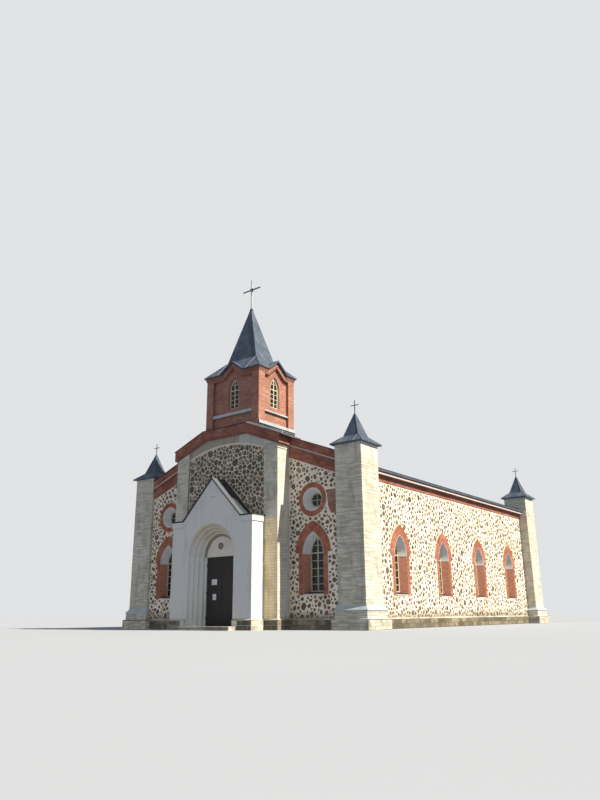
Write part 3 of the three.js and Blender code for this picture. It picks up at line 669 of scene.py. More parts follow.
def edge_distances(point, outline):
    """Distance inside of each edge of a convex outline, and the direction that leads out over it"""
    found = []
    for a, b in edges_of(outline):
        dx, dz = b[0] - a[0], b[1] - a[1]
        inside = (dx * (point[1] - a[1]) - dz * (point[0] - a[0])) / math.hypot(dx, dz)
        found.append((inside, math.atan2(-dx, dz)))
    return found


def nearest_on(point, outline):
    """Distance from a point outside a convex outline to it, and the direction towards it"""
    found = []
    for a, b in edges_of(outline):
        dx, dz = b[0] - a[0], b[1] - a[1]
        along = ((point[0] - a[0]) * dx + (point[1] - a[1]) * dz) / (dx * dx + dz * dz)
        along = min(1.0, max(0.0, along))
        px, pz = a[0] + along * dx - point[0], a[1] + along * dz - point[1]
        found.append((math.hypot(px, pz), math.atan2(pz, px)))
    return min(found, key=lambda spot: spot[0])


def near_shapes(point, shapes, reach):
    """Distance and direction of each kept-out shape within reach, or None if the point is inside one"""
    found = []
    for outline, low, high in shapes:
        if not (low[0] - reach < point[0] < high[0] + reach and low[1] - reach < point[1] < high[1] + reach):
            continue
        if min(edge_distances(point, outline))[0] > 0:
            return None
        nearest = nearest_on(point, outline)
        if nearest[0] < reach:
            found.append(nearest)
    return found


def scatter_stones(region, kept_out, sizes, joint, rng):
    """Centres and radii of stones: large ones are placed first, then smaller ones in the gaps"""
    shapes = [(outline, *limits(outline)) for outline in kept_out]
    low, high = limits(region)
    area = (high[0] - low[0]) * (high[1] - low[1])
    grid = {}
    stones = []
    for small, large, tries in sizes:
        for _ in range(int(tries * area)):
            point = (rng.uniform(low[0], high[0]), rng.uniform(low[1], high[1]))
            radius = rng.uniform(small, large)
            if min(edge_distances(point, region))[0] < EDGE_ROOM * radius:
                continue
            around = neighbours(grid, point)
            if any(math.dist(point, s[0]) < STONE_ROOM * (radius + s[1]) + joint for s in around):
                continue
            near = near_shapes(point, shapes, 3 * radius)
            if near is None or any(d < SHAPE_ROOM * radius for d, _ in near):
                continue
            stone = (point, radius, near)
            stones.append(stone)
            grid.setdefault(cell_of(point), []).append(stone)
    return stones, grid


def cell_of(point):
    return int(point[0] // GRID_CELL), int(point[1] // GRID_CELL)


def neighbours(grid, point):
    """Stones in the cells of the grid round a point"""
    column, row = cell_of(point)
    return [s for i in (-1, 0, 1) for j in (-1, 0, 1) for s in grid.get((column + i, row + j), ())]


def clip(outline, point, gap, way):
    """Cuts a convex outline off at a line that lies a distance away from a point in a direction"""
    nx, nz = math.cos(way), math.sin(way)
    beyond = [(x - point[0]) * nx + (z - point[1]) * nz - gap for x, z in outline]
    kept = []
    for i, corner in enumerate(outline):
        j = (i + 1) % len(outline)
        if beyond[i] <= 0:
            kept.append(corner)
        if beyond[i] * beyond[j] < 0:
            kept.append(mix(corner, outline[j], beyond[i] / (beyond[i] - beyond[j])))
    return kept


def worn(outline, shortest):
    """Blunts the corners of an outline and leaves out edges that are too short to lay"""
    blunt = []
    for i, corner in enumerate(outline):
        for other in (outline[i - 1], outline[(i + 1) % len(outline)]):
            spot = mix(corner, other, BLUNT_SHARE)
            if not blunt or math.dist(spot, blunt[-1]) > shortest:
                blunt.append(spot)
    if math.dist(blunt[0], blunt[-1]) <= shortest:
        blunt.pop()
    return blunt


def stone_outline(stone, around, region, joint, spread, rng):
    """Angular outline of a stone, cut off by its neighbours, the region's edges and what is kept out"""
    point, radius, near = stone
    corners = rng.randint(5, 8)
    turn = rng.uniform(0, math.tau)
    lean = rng.uniform(0, math.pi)
    stretch = rng.uniform(0.05, 0.42)
    outline = []
    for i in range(corners):
        angle = turn + math.tau * (i + rng.uniform(-0.25, 0.25)) / corners
        reach = radius * spread * (1 + stretch * math.cos(2 * (angle - lean)))
        outline.append((point[0] + reach * math.cos(angle), point[1] + reach * math.sin(angle)))
    planes = [(inside - joint / 3, way) for inside, way in edge_distances(point, region)
              if inside < 3 * radius]
    planes += [(distance - joint / 2, way) for distance, way in near]
    for other, reach, _ in around:
        distance = math.dist(point, other)
        if 0 < distance < 3 * (radius + reach):
            gap = (distance * distance + radius * radius - reach * reach) / (2 * distance) - joint / 2
            planes.append((gap, math.atan2(other[1] - point[1], other[0] - point[0])))
    for gap, way in planes:
        outline = clip(outline, point, max(gap, SMALLEST_REACH), way)
    return worn(outline, 0.12 * radius)


# Stones up to a radius, with the inset and the rise of their round faces
STONE_GROUPS = [(0.05, 0.008, 0.010), (0.085, 0.014, 0.014), (9.0, 0.022, 0.020)]


def rubble_wall(name, region, kept_out, rubble, matrix, material, seed):
    """Rounded boulders of one wall, joined in one piece"""
    rng = random.Random(seed)
    sizes, joint, spread = rubble
    stones, grid = scatter_stones(region, kept_out, sizes, joint, rng)
    bm = bmesh.new()
    groups = [[] for _ in STONE_GROUPS]
    for stone in stones:
        around = [s for s in neighbours(grid, stone[0]) if s is not stone]
        face = flat_face(bm, stone_outline(stone, around, region, joint, spread, rng), 0.0, rng.random())
        group = next(k for k, g in enumerate(STONE_GROUPS) if stone[1] < g[0])
        groups[group].append(face)
    for faces, (_, inset, rise) in zip(groups, STONE_GROUPS):
        if faces:
            raise_blocks(bm, faces, [(0.2 * inset, 0.6 * rise), (inset, 0.4 * rise)])
            bmesh.ops.poke(bm, faces=faces, offset=0.15 * rise)
    # Flat shells far from the origin can be misjudged, so these are turned before they are placed
    face_outwards(bm)
    bm.transform(matrix)
    make_piece(name, bm, material, "building", 50)


# Walls of boulders, which leave some room at the ends of a wall, at its foot and under its top

END_ROOM = 0.02
TOP_ROOM = 0.03
STONE_FOOT = PLINTH_TOP + 0.03
JAMB_FOOT = WINDOW_SILL - 0.06
REAR_TURRETS = 2 * MIDDLE_Y - TURRET_BACK
TOOTHING_CORNER = (4.93, 5.42, 4.4, 5.4)
LONG_STONE_TOP = 5.79
REAR_STONE_DROP = 1.02
PANEL_STONE_FOOT = 4.54
PORCH_GABLE_ROOM = [(-1.78, 4.4), (1.78, 4.4), (0.0, 6.27)]
NAVE_RIDGE = 8.83
FOLD_X = 1.2
FOLD_Z = 8.15
FOLD_SLOPE = 0.3944

# Sizes as smallest and largest radius and tries a square metre, then the joint and how far stones spread
BAY_RUBBLE = ([(0.1, 0.14, 1.2), (0.075, 0.1, 9), (0.05, 0.075, 90), (0.032, 0.05, 140)], 0.045, 1.22)
PANEL_RUBBLE = ([(0.12, 0.16, 0.8), (0.08, 0.11, 10), (0.055, 0.08, 90), (0.035, 0.055, 120)], 0.034, 1.75)


def window_keep_outs(centre):
    """Jambs and head of a brick surround, as two convex shapes"""
    reach = WINDOW_HALF + JAMB_WIDTH
    return [rectangle(centre - reach, centre + reach, JAMB_FOOT, WINDOW_SPRING), outer_head(8, centre)]


def outer_head(steps, centre):
    return arch(WINDOW_HALF + HEAD_HAUNCH, WINDOW_SPRING, WINDOW_APEX + HEAD_CROWN, steps, centre)


def bay_top(x):
    """Top of the side bay's stones, under its brick cornice"""
    return bay_roof_line(x) - CORNICE_BAND - TOP_ROOM


def bay_rubble():
    for side, sign, _ in SIDES:
        x0, x1 = PILASTER_OUTER + END_ROOM, TURRET_INNER - END_ROOM
        region = [(x0, STONE_FOOT), (x1, STONE_FOOT), (x1, bay_top(x1)), (x0, bay_top(x0))]
        centre = sign * WINDOW_X
        kept_out = window_keep_outs(centre) + [circle(OCULUS_RADIUS + OCULUS_RING, 24, (centre, OCULUS_Z))]
        if sign > 0:
            kept_out.append(rectangle(*TOOTHING_CORNER))
        else:
            region = flipped(region)
        rubble_wall(f"bay_stones_{side}", region, kept_out, BAY_RUBBLE, FRONT_BAY, STONE_BAY, 10 + sign)


def under_cornice(x):
    """Underside of the middle bay's cornice: level between its folds, and sloped beside them"""
    return min(FOLD_Z, FOLD_Z - FOLD_SLOPE * (abs(x) - FOLD_X))


# Band under the cornice: its lower edge is an arc
BAND_RADIUS = 6.1
BAND_CROWN = 7.81


def band_bottom(x):
    return BAND_CROWN - BAND_RADIUS + math.sqrt(BAND_RADIUS ** 2 - x * x)


def panel_rubble():
    half = PILASTER_INNER - END_ROOM
    top = [(x, band_bottom(x) - TOP_ROOM) for x in reversed(spaced(-half, half, 12))]
    region = [(-half, PANEL_STONE_FOOT), (half, PANEL_STONE_FOOT)] + top
    rubble_wall("panel_stones", region, [PORCH_GABLE_ROOM], PANEL_RUBBLE, FRONT_PANEL, STONE_PANEL, 5)


def long_rubble():
    for side, sign, matrix in SIDES:
        ends = sorted((sign * (TURRET_BACK + END_ROOM), sign * (REAR_TURRETS - END_ROOM)))
        kept_out = [shape for y in SIDE_WINDOWS for shape in window_keep_outs(sign * y)]
        region = rectangle(*ends, STONE_FOOT, LONG_STONE_TOP)
        rubble_wall(f"long_wall_stones_{side}", region, kept_out, BAY_RUBBLE, matrix, STONE_BAY, 20 + sign)


def rear_rubble():
    half = TURRET_INNER - END_ROOM
    low = NAVE_RIDGE - ROOF_SLOPE * half - REAR_STONE_DROP
    crown = NAVE_RIDGE - REAR_STONE_DROP
    region = [(-half, STONE_FOOT), (half, STONE_FOOT), (half, low), (0, crown), (-half, low)]
    kept_out = window_keep_outs(WINDOW_X) + window_keep_outs(-WINDOW_X)
    rubble_wall("rear_wall_stones", region, kept_out, BAY_RUBBLE, REAR_WALL, STONE_BAY, 30)


# Brick surrounds of the windows and the round windows

BED_DEPTHS = (-SURROUND_PROUD - 0.0015, -SURROUND_PROUD + 0.002)
LINING_TOP = WINDOW_SPRING - 0.04
PLASTER_SHELL = 0.014
FRAME_FRONT = SPLAY_DEPTH + 0.005
FRAME_BACK = SPLAY_DEPTH + 0.065
BAR_FRONT = SPLAY_DEPTH + 0.02


def window_surround(bm, centre, rng):
    """Two staggered rings of headers round the head, and courses on the jambs"""
    outer = outer_head(24, centre)
    inner = arch(WINDOW_HALF, WINDOW_SPRING, WINDOW_APEX, 24, centre)
    middle = [mix(a, b, 0.5) for a, b in zip(outer, inner)]
    ring_bricks(bm, outer, middle, 34, rng, -SURROUND_PROUD)
    ring_bricks(bm, middle, inner, 30, rng, -SURROUND_PROUD)
    for side in (-1, 1):
        lay_bricks(bm, jamb(centre, side), rng, y=-SURROUND_PROUD)


def jamb(centre, side):
    """Outline of a brick jamb"""
    x0, x1 = beside(centre, side, WINDOW_HALF, WINDOW_HALF + JAMB_WIDTH)
    return rectangle(x0, x1, JAMB_FOOT, WINDOW_SPRING)


def surround_bed(bm, centre):
    """Mortar bed under the surround's bricks"""
    inner = arch(WINDOW_HALF, WINDOW_SPRING, WINDOW_APEX, 24, centre)
    ring_slab(bm, outer_head(24, centre), inner, *BED_DEPTHS)
    for side in (-1, 1):
        slab(bm, jamb(centre, side), *BED_DEPTHS)


def splay_lining(bm, side, centre):
    """Plate on the splayed side of a window"""
    x0, x1 = centre + side * (WINDOW_HALF - 0.004), centre + side * (GLASS_HALF - 0.004)
    front, back = -SURROUND_PROUD - 0.002, SPLAY_DEPTH
    corners = [(x0, front, WINDOW_SILL), (x0, front, LINING_TOP), (x1, back, LINING_TOP),
               (x1, back, GLASS_SILL)]
    thicken(bm, [bm.faces.new([bm.verts.new(corner) for corner in corners])], (side * 0.008, 0, 0))


def windows_of(name, centres, matrix, replaced, seed):
    """Brick surrounds, splay linings, sills, frames and panes of one wall's pointed windows"""
    rng = random.Random(seed)
    surround, bed, lining, plaster, sill, wood, pane = parts = [bmesh.new() for _ in range(7)]
    for centre in centres:
        window_surround(surround, centre, rng)
        surround_bed(bed, centre)
        for side in (-1, 1):
            splay_lining(lining, side, centre)
        head_shell(plaster, centre)
        sloped_sill(sill, centre)
        window_woodwork(wood, centre)
        window_glass(pane, centre)
    for bm in parts:
        bm.transform(matrix)
    finish_piece(f"{name}_surround_beds", bed, BRICK_MORTAR)
    finish_piece(f"{name}_surrounds", surround, RING_BRICK)
    finish_piece(f"{name}_jamb_linings", lining, LINING_BRICK)
    finish_piece(f"{name}_head_plaster", plaster, PLASTER, sharp=40)
    finish_piece(f"{name}_sills", sill, DARK_METAL)
    frames = finish_piece(f"{name}_frames", wood, FRAME_PAINT)
    finish_piece(f"{name}_panes", pane, GLASS)
    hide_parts(*replaced)


def shell_between(bm, outer, inner, centre):
    """Closed thin shell along the splay between two lines of points, grown towards the opening"""
    rows = []
    for shrink in (0.0, PLASTER_SHELL):
        for line, y in ((outer, -SURROUND_PROUD - BRICK_RISE), (inner, SPLAY_DEPTH)):
            grown = [mix(point, centre, shrink / math.dist(point, centre)) for point in line]
            rows.append([bm.verts.new((x, y, z)) for x, z in grown])
    order = [rows[0], rows[1], rows[3], rows[2]]
    for a, b in edges_of(order):
        for i in range(len(outer) - 1):
            bm.faces.new([a[i], a[i + 1], b[i + 1], b[i]])
    return order


def head_shell(bm, centre):
    outer = arch(WINDOW_HALF, LINING_TOP, WINDOW_APEX, 16, centre)
    inner = arch(GLASS_HALF, LINING_TOP, GLASS_APEX, 16, centre)
    order = shell_between(bm, outer, inner, (centre, LINING_TOP))
    for end in (0, -1):
        bm.faces.new([row[end] for row in order])


def sloped_sill(bm, centre):
    """Sheet-metal sill that slopes outwards and ends in a small drip"""
    wide, narrow = WINDOW_HALF - 0.005, GLASS_HALF - 0.005
    profile = [(wide, -0.05, WINDOW_SILL - 0.012), (wide, -0.05, WINDOW_SILL + 0.004),
               (wide, 0.0, WINDOW_SILL + 0.012), (narrow, SPLAY_DEPTH, GLASS_SILL + 0.012),
               (narrow, SPLAY_DEPTH, GLASS_SILL), (wide, 0.0, WINDOW_SILL)]
    sweep(bm, [[(centre - half, y, z), (centre + half, y, z)] for half, y, z in profile])


def ring_slab(bm, outer, inner, front, back, closed=False):
    """Flat ring between two lines of points, with its own thickness"""
    made = []
    for i in range(len(outer) if closed else len(outer) - 1):
        j = (i + 1) % len(outer)
        made.append(flat_face(bm, [outer[i], outer[j], inner[j], inner[i]], front))
    thicken(bm, made, (0, back - front, 0))


def window_woodwork(bm, centre, half=GLASS_HALF, sill=GLASS_SILL, spring=WINDOW_SPRING, apex=GLASS_APEX,
                    rows=5, rim=0.05, bar=0.026, offset=0.0):
    """Painted frame with a middle post, a transom at the spring and bars between the panes"""
    front, back, bars = FRAME_FRONT + offset, FRAME_BACK + offset, BAR_FRONT + offset
    outer = arch(half - 0.001, spring, apex - 0.001, 14, centre)
    inner = arch(half - rim, spring, apex - rim * 1.25, 14, centre)
    ring_slab(bm, outer, inner, front, back)
    for side in (-1, 1):
        x0, x1 = beside(centre, side, half - 0.001, half - rim)
        block(bm, (x0, front, sill + 0.002), (x1, back, spring), 0.004)
    rails = [(front, sill + 0.002, sill + rim, 0.004),
             (front, spring - 0.5 * rim, spring + 0.5 * rim, 0.004)]
    rails += [(bars, z - 0.5 * bar, z + 0.5 * bar, 0.003) for z in spaced(sill, spring, rows)[1:-1]]
    for face, low, high, bevel in rails:
        block(bm, (centre - half + rim, face, low), (centre + half - rim, back, high), bevel)
    block(bm, (centre - bar, bars - 0.012, sill + rim), (centre + bar, back, apex - rim * 1.5), 0.004)
    head_bar = spring + 0.45 * (apex - spring)
    for side in (-1, 1):
        x0, x1 = beside(centre, side, 0.5 * bar, 0.52 * half)
        block(bm, (x0, bars, head_bar), (x1, back, head_bar + bar), 0.003)


def window_glass(bm, centre, half=GLASS_HALF, sill=GLASS_SILL, spring=WINDOW_SPRING, apex=GLASS_APEX,
                 offset=0.0):
    outline = [(centre - half + 0.01, sill + 0.01), (centre + half - 0.01, sill + 0.01)]
    outline += arch(half - 0.01, spring, apex - 0.01, 14, centre)
    slab(bm, outline, BAR_FRONT + 0.02 + offset, BAR_FRONT + 0.026 + offset)


def round_windows():
    rng = random.Random(41)
    ring, bed, plaster, wood, pane = parts = [bmesh.new() for _ in range(5)]
    post, reach = 0.014, OCULUS_GLASS - 0.05
    for centre in (-WINDOW_X, WINDOW_X):
        middle = (centre, OCULUS_Z)
        outer, inner, glass, frame_edge, frame_rim, pane_edge = (
            circle(radius, 48, middle) for radius in (
                OCULUS_RADIUS + OCULUS_RING, OCULUS_RADIUS, OCULUS_GLASS, OCULUS_GLASS - 0.001,
                OCULUS_GLASS - 0.055, OCULUS_GLASS - 0.01))
        ring_bricks(ring, outer + outer[:1], inner + inner[:1], 47, rng, -SURROUND_PROUD)
        ring_slab(bed, outer, inner, *BED_DEPTHS, closed=True)
        shell_between(plaster, inner + inner[:1], glass + glass[:1], middle)
        ring_slab(wood, frame_edge, frame_rim, FRAME_FRONT, FRAME_BACK, closed=True)
        for x, z in ((post, reach), (reach, post)):
            block(wood, (centre - x, BAR_FRONT, OCULUS_Z - z), (centre + x, FRAME_BACK, OCULUS_Z + z), 0.003)
        slab(pane, pane_edge, BAR_FRONT + 0.02, BAR_FRONT + 0.026)
    bmesh.ops.remove_doubles(plaster, verts=plaster.verts, dist=1e-5)
    for bm in parts:
        bm.transform(FRONT_BAY)
    finish_piece("round_window_ring_beds", bed, BRICK_MORTAR)
    finish_piece("round_window_rings", ring, RING_BRICK)
    finish_piece("round_window_plaster", plaster, PLASTER, sharp=40)
    frames = finish_piece("round_window_frames", wood, FRAME_PAINT)
    finish_piece("round_window_panes", pane, GLASS)
    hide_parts("round_window_right", "round_window_left")


# Mouldings and rods

def sweep(bm, lines):
    """Closed bar whose edges are lines of points that run side by side"""
    rows = [[bm.verts.new(point) for point in line] for line in lines]
    for a, b in edges_of(rows):
        for i in range(len(a) - 1):
            bm.faces.new([a[i], a[i + 1], b[i + 1], b[i]])
    for end in (0, -1):
        bm.faces.new([row[end] for row in rows])


def moulding(bm, path, profile):
    """Sweeps a closed profile of distance out and height along a path in plan"""
    sweep(bm, [[(x, y, z) for x, y in path(out)] for out, z in profile])


def rod(bm, start, end, radius, sides=8):
    """Straight round bar between two points"""
    start, end = Vector(start), Vector(end)
    way = end - start
    turned = way.to_track_quat("Z", "Y").to_matrix().to_4x4()
    bmesh.ops.create_cone(bm, cap_ends=True, segments=sides, radius1=radius, radius2=radius,
                          depth=way.length, matrix=Matrix.Translation((start + end) / 2) @ turned)


def rods(bm, line, radius):
    """Round bars from point to point"""
    for start, end in zip(line, line[1:]):
        rod(bm, start, end, radius)


# Limestone of the pilasters and turrets

STONE_COURSE = 0.118
STONE_LENGTH = 0.42
STONE_JOINT = 0.009
STONE_RISE = 0.005


def limestone_blocks(bm, outline, matrix, rng):
    coursed_blocks(bm, outline, matrix, rng, STONE_RISE, STONE_COURSE, STONE_LENGTH, STONE_JOINT,
                   ragged=0.45, bevel=0.003)


# Height up to which the right pilaster's foot carries painted bounce light
BOUNCE_LIGHT_TOP = 4.36


def pilasters():
    rng = random.Random(61)
    foot, bm = bmesh.new(), bmesh.new()
    inner, outer, low, face = PILASTER_INNER, PILASTER_OUTER, PLINTH_TOP, wall_frame(0, 0, 0)
    front = [(inner, low), (outer, low), (outer, under_cornice(outer)), (inner, under_cornice(inner))]
    limestone_blocks(foot, rectangle(inner, outer, low, BOUNCE_LIGHT_TOP), face, rng)
    finish_piece("pilaster_foot_limestone", foot, LIMESTONE_PAINTED_BOUNCE, sharp=30)
    limestone_blocks(bm, [(inner, BOUNCE_LIGHT_TOP), (outer, BOUNCE_LIGHT_TOP)] + front[2:], face, rng)
    limestone_blocks(bm, flipped(front), face, rng)
    high = under_cornice(outer)
    limestone_blocks(bm, rectangle(0, BAY_FACE, low, high), wall_frame(outer, 0, 90), rng)
    limestone_blocks(bm, rectangle(-BAY_FACE, 0, low, high), wall_frame(-outer, 0, -90), rng)
    finish_piece("pilaster_limestone", bm, LIMESTONE, sharp=30)


TURRET_STAGE = (0.39, 0.72)
TURRET_STEP = 0.1
TURRET_PLINTH_STEP = 0.2
TURRET_SHOULDER = 0.85
TURRET_ROOF_LINE = 6.5
TURRET_TOP = 7.09


def turret_path(out):
    """Plan of a turret's free sides, moved outwards"""
    return [(TURRET_INNER - out, BAY_FACE), (TURRET_INNER - out, TURRET_FRONT - out),
            (TURRET_OUTER + out, TURRET_FRONT - out), (TURRET_OUTER + out, TURRET_BACK + out),
            (SIDE_FACE, TURRET_BACK + out)]


def turret_faces(out):
    """Frames and widths of the free faces of a turret whose sides are moved outwards"""
    x0, x1 = TURRET_INNER - out, TURRET_OUTER + out
    y0, y1 = TURRET_FRONT - out, TURRET_BACK + out
    return [
        (wall_frame(0, y0, 0), x0, x1, x0, x1),
        (wall_frame(x1, 0, 90), y0, y1, y0, y1),
        (wall_frame(0, y1, 180), -x1, -SIDE_FACE, -x1, -x0),
        (wall_frame(x0, 0, -90), -BAY_FACE, -y0, -y1, -y0),
    ]


def turret_masonry(rng):
    """Blocks of one turret: narrow faces below the nave roof, whole faces above it"""
    shaft = bmesh.new()
    roof = TURRET_ROOF_LINE
    for matrix, low_left, low_right, left, right in turret_faces(0):
        outline = [(low_left, TURRET_SHOULDER), (low_right, TURRET_SHOULDER), (low_right, roof),
                   (right, roof), (right, TURRET_TOP), (left, TURRET_TOP), (left, roof), (low_left, roof)]
        if (low_left, low_right) == (left, right):
            outline = rectangle(left, right, TURRET_SHOULDER, TURRET_TOP)
        elif low_left == left:
            outline = outline[:6]
        elif low_right == right:
            outline = outline[:2] + outline[4:]
        limestone_blocks(shaft, outline, matrix, rng)
    low, high = TURRET_STAGE
    for matrix, left, right, _, _ in turret_faces(TURRET_STEP):
        limestone_blocks(shaft, rectangle(left, right, low + 0.03, high), matrix, rng)
    return shaft


def turret_stonework():
    rng = random.Random(71)
    for corner, place in (("front_right", Matrix()), ("front_left", MIRROR_X), ("rear_right", MIRROR_Y),
                          ("rear_left", MIRROR_X @ MIRROR_Y)):
        bm = turret_masonry(rng)
        bm.transform(place)
        finish_piece(f"turret_limestone_{corner}", bm, LIMESTONE_PAINTED_SHADE, sharp=30)


def turret_flashings():
    shoulder, ledge = bmesh.new(), bmesh.new()
    top, low = TURRET_STAGE
    high = TURRET_SHOULDER
    moulding(shoulder, turret_path, [(TURRET_STEP + 0.03, low - 0.025), (TURRET_STEP + 0.03, low + 0.004),
                                     (0.012, high + 0.012), (0.012, high + 0.06), (-0.01, high + 0.06),
                                     (-0.01, low - 0.025)])
    moulding(ledge, turret_path, [(TURRET_PLINTH_STEP, top - 0.02), (TURRET_PLINTH_STEP, top + 0.002),
                                  (TURRET_STEP, top + 0.035), (TURRET_STEP - 0.01, top + 0.035),
                                  (TURRET_STEP - 0.01, top - 0.02)])
    for bm in (shoulder, ledge):
        mirrored(bm, MIRROR_X, MIRROR_Y)
    finish_piece("turret_shoulder_flashing", shoulder, BLUE_METAL)
    finish_piece("turret_plinth_ledge", ledge, PALE_METAL)


# Brick cornices

CORNICE_TILT = math.atan(ROOF_SLOPE)
CORNICE_TIP = 3.13
CORNICE_FRONT = -0.08
CORNICE_BODY = -0.02
CORNICE_FLAT = 1.33
CORNICE_TOP = 8.6
CORNICE_TIP_TOP = 7.89
CORNICE_STEP = 0.06
CORNICE_RETURN = 3.035
COVER_BACK = 1.56
METAL_LIP = 0.028


def central_cornice():
    """Bent brick cornice: a proud upper band and a lower course, both sloped beside the folds"""
    rng = random.Random(81)
    bm = bmesh.new()
    fold, line = under_cornice(0), under_cornice(CORNICE_TIP) + CORNICE_STEP
    line_in, step = under_cornice(CORNICE_RETURN), fold + CORNICE_STEP
    middle = [(-FOLD_X, step), (FOLD_X, step), (CORNICE_FLAT, CORNICE_TOP), (-CORNICE_FLAT, CORNICE_TOP)]
    wing = [(FOLD_X, step), (CORNICE_TIP, line), (CORNICE_TIP, CORNICE_TIP_TOP), (CORNICE_FLAT, CORNICE_TOP)]
    low_middle = rectangle(-FOLD_X, FOLD_X, fold, step)
    low_wing = [(FOLD_X, fold), (CORNICE_RETURN, line_in), (CORNICE_RETURN, line_in + CORNICE_STEP),
                (FOLD_X, step)]
    for y, level, sloped in ((CORNICE_FRONT, middle, wing), (CORNICE_BODY, low_middle, low_wing)):
        lay_bricks(bm, level, rng, y)
        lay_bricks(bm, sloped, rng, y, -CORNICE_TILT)
        lay_bricks(bm, flipped(sloped), rng, y, CORNICE_TILT)
    end = rectangle(CORNICE_FRONT, BAY_FACE - 0.09, line, CORNICE_TIP_TOP)
    lay_bricks(bm, end, rng, matrix=wall_frame(CORNICE_TIP, 0, 90))
    lay_bricks(bm, flipped(end), rng, matrix=wall_frame(-CORNICE_TIP, 0, -90))
    finish_piece("central_cornice_bricks", bm, BRICK)
    cornice_flashings()


def cornice_flashings():
    """Thin dark coping on the left slope and the top, a deep pale flashing on the right slope with a dark
    strip under it as painted shadow, and a darker return as painted shade
    """
    coping, cover, pale, lid = (bmesh.new() for _ in range(4))
    front, back = CORNICE_FRONT - 0.03, BAY_FACE - 0.08
    slab(coping, rectangle(-CORNICE_FLAT, CORNICE_FLAT, CORNICE_TOP, CORNICE_TOP + METAL_LIP), front, back)
    arm_end, arm_low = CORNICE_TIP + 0.03, CORNICE_TIP_TOP - 0.012
    slab(coping, flipped([(CORNICE_FLAT, CORNICE_TOP), (arm_end, arm_low), (arm_end, arm_low + METAL_LIP),
                          (CORNICE_FLAT, CORNICE_TOP + METAL_LIP)]), front, back)
    tip, low = CORNICE_TIP + 0.24, CORNICE_TIP_TOP - 0.25 * ROOF_SLOPE
    # Dark strip under the pale flashing on the right slope: painted shadow
    slab(coping, [(CORNICE_FLAT, CORNICE_TOP - 0.01), (CORNICE_FLAT, CORNICE_TOP - 0.03), (tip, low - 0.06),
                  (tip, low - 0.03)], CORNICE_FRONT - 0.02, CORNICE_FRONT + 0.01)
    finish_piece("central_cornice_coping", coping, DARK_METAL)
    slope = (CORNICE_TOP - CORNICE_TIP_TOP) / (CORNICE_RETURN - CORNICE_FLAT)
    start = TOWER_X + KERB_PROUD
    high = CORNICE_TOP - slope * (start - CORNICE_FLAT)
    slab(cover, [(start, high), (CORNICE_RETURN, CORNICE_TIP_TOP),
                 (CORNICE_RETURN, CORNICE_TIP_TOP + METAL_LIP), (start, high + METAL_LIP)], back, COVER_BACK)
    mirrored(cover, MIRROR_X)
    finish_piece("central_cornice_cover", cover, DARK_METAL)
    slab(pale, [(CORNICE_FLAT - 0.06, CORNICE_TOP + 0.01), (tip, low - 0.03), (tip, low + 0.1),
                (CORNICE_FLAT + 0.1, CORNICE_TOP + 0.03)], front - 0.02, front)
    finish_piece("central_cornice_flashing", pale, GREY_METAL)
    # Darker lilac-grey return and end of the right-slope flashing: painted shade
    slab(lid, [(CORNICE_FLAT, CORNICE_TOP + 0.01), (tip, low + 0.01), (tip, low + 0.09),
               (CORNICE_FLAT, CORNICE_TOP + 0.03)], front, back)
    block(lid, (tip - 0.012, front, low - 0.05), (tip, back, low + 0.04), 0.002)
    finish_piece("central_cornice_flashing_return", lid, VERGE_METAL)


BAY_CORNICE_TOP = 6.893
UPPER_BAND = 0.39
LOWER_BAND = 0.51
CORNICE_BAND = UPPER_BAND + LOWER_BAND
UPPER_PROUD = 0.08
LOWER_PROUD = 0.025
STRING_HEIGHT = 0.05
REAR_CORNICE_TOP = 8.74


def sloped_band(x0, x1, high, low, top):
    """Band between two depths under a sloping top line"""
    return [(x0, top(x0) - low), (x1, top(x1) - low), (x1, top(x1) - high), (x0, top(x0) - high)]


def bay_roof_line(x):
    return BAY_CORNICE_TOP + ROOF_SLOPE * (TURRET_INNER - x)


def bay_cornices():
    rng = random.Random(91)
    bm, string, coping = (bmesh.new() for _ in range(3))
    x0, x1 = CORNICE_RETURN, TURRET_INNER
    face, line = BAY_FACE - UPPER_PROUD, bay_roof_line
    for turned, tilt in ((list, -CORNICE_TILT), (flipped, CORNICE_TILT)):
        upper = sloped_band(x0, x1, 0, UPPER_BAND - STRING_HEIGHT, line)
        lower = sloped_band(x0, x1, UPPER_BAND, CORNICE_BAND, line)
        lay_bricks(bm, turned(upper), rng, face, tilt)
        lay_bricks(bm, turned(lower), rng, BAY_FACE - LOWER_PROUD, tilt)
        middle = sloped_band(x0, x1, UPPER_BAND - STRING_HEIGHT, UPPER_BAND, line)
        slab(string, turned(middle), face - 0.014, face + 0.01)
        slab(coping, turned(sloped_band(x0, x1 - 0.01, -0.03, 0.005, line)), face - 0.03, BAY_FACE + 0.8)
    finish_piece("bay_cornice_bricks", bm, BRICK)
    finish_piece("bay_cornice_string", string, BAND_PLASTER)
    finish_piece("bay_cornice_coping", coping, DARK_METAL)


SIDE_CORNICE_X = 6.39
SIDE_CORNICE_BOTTOM = 5.82
SIDE_CORNICE_MIDDLE = 6.09
SIDE_CORNICE_TOP = 6.222


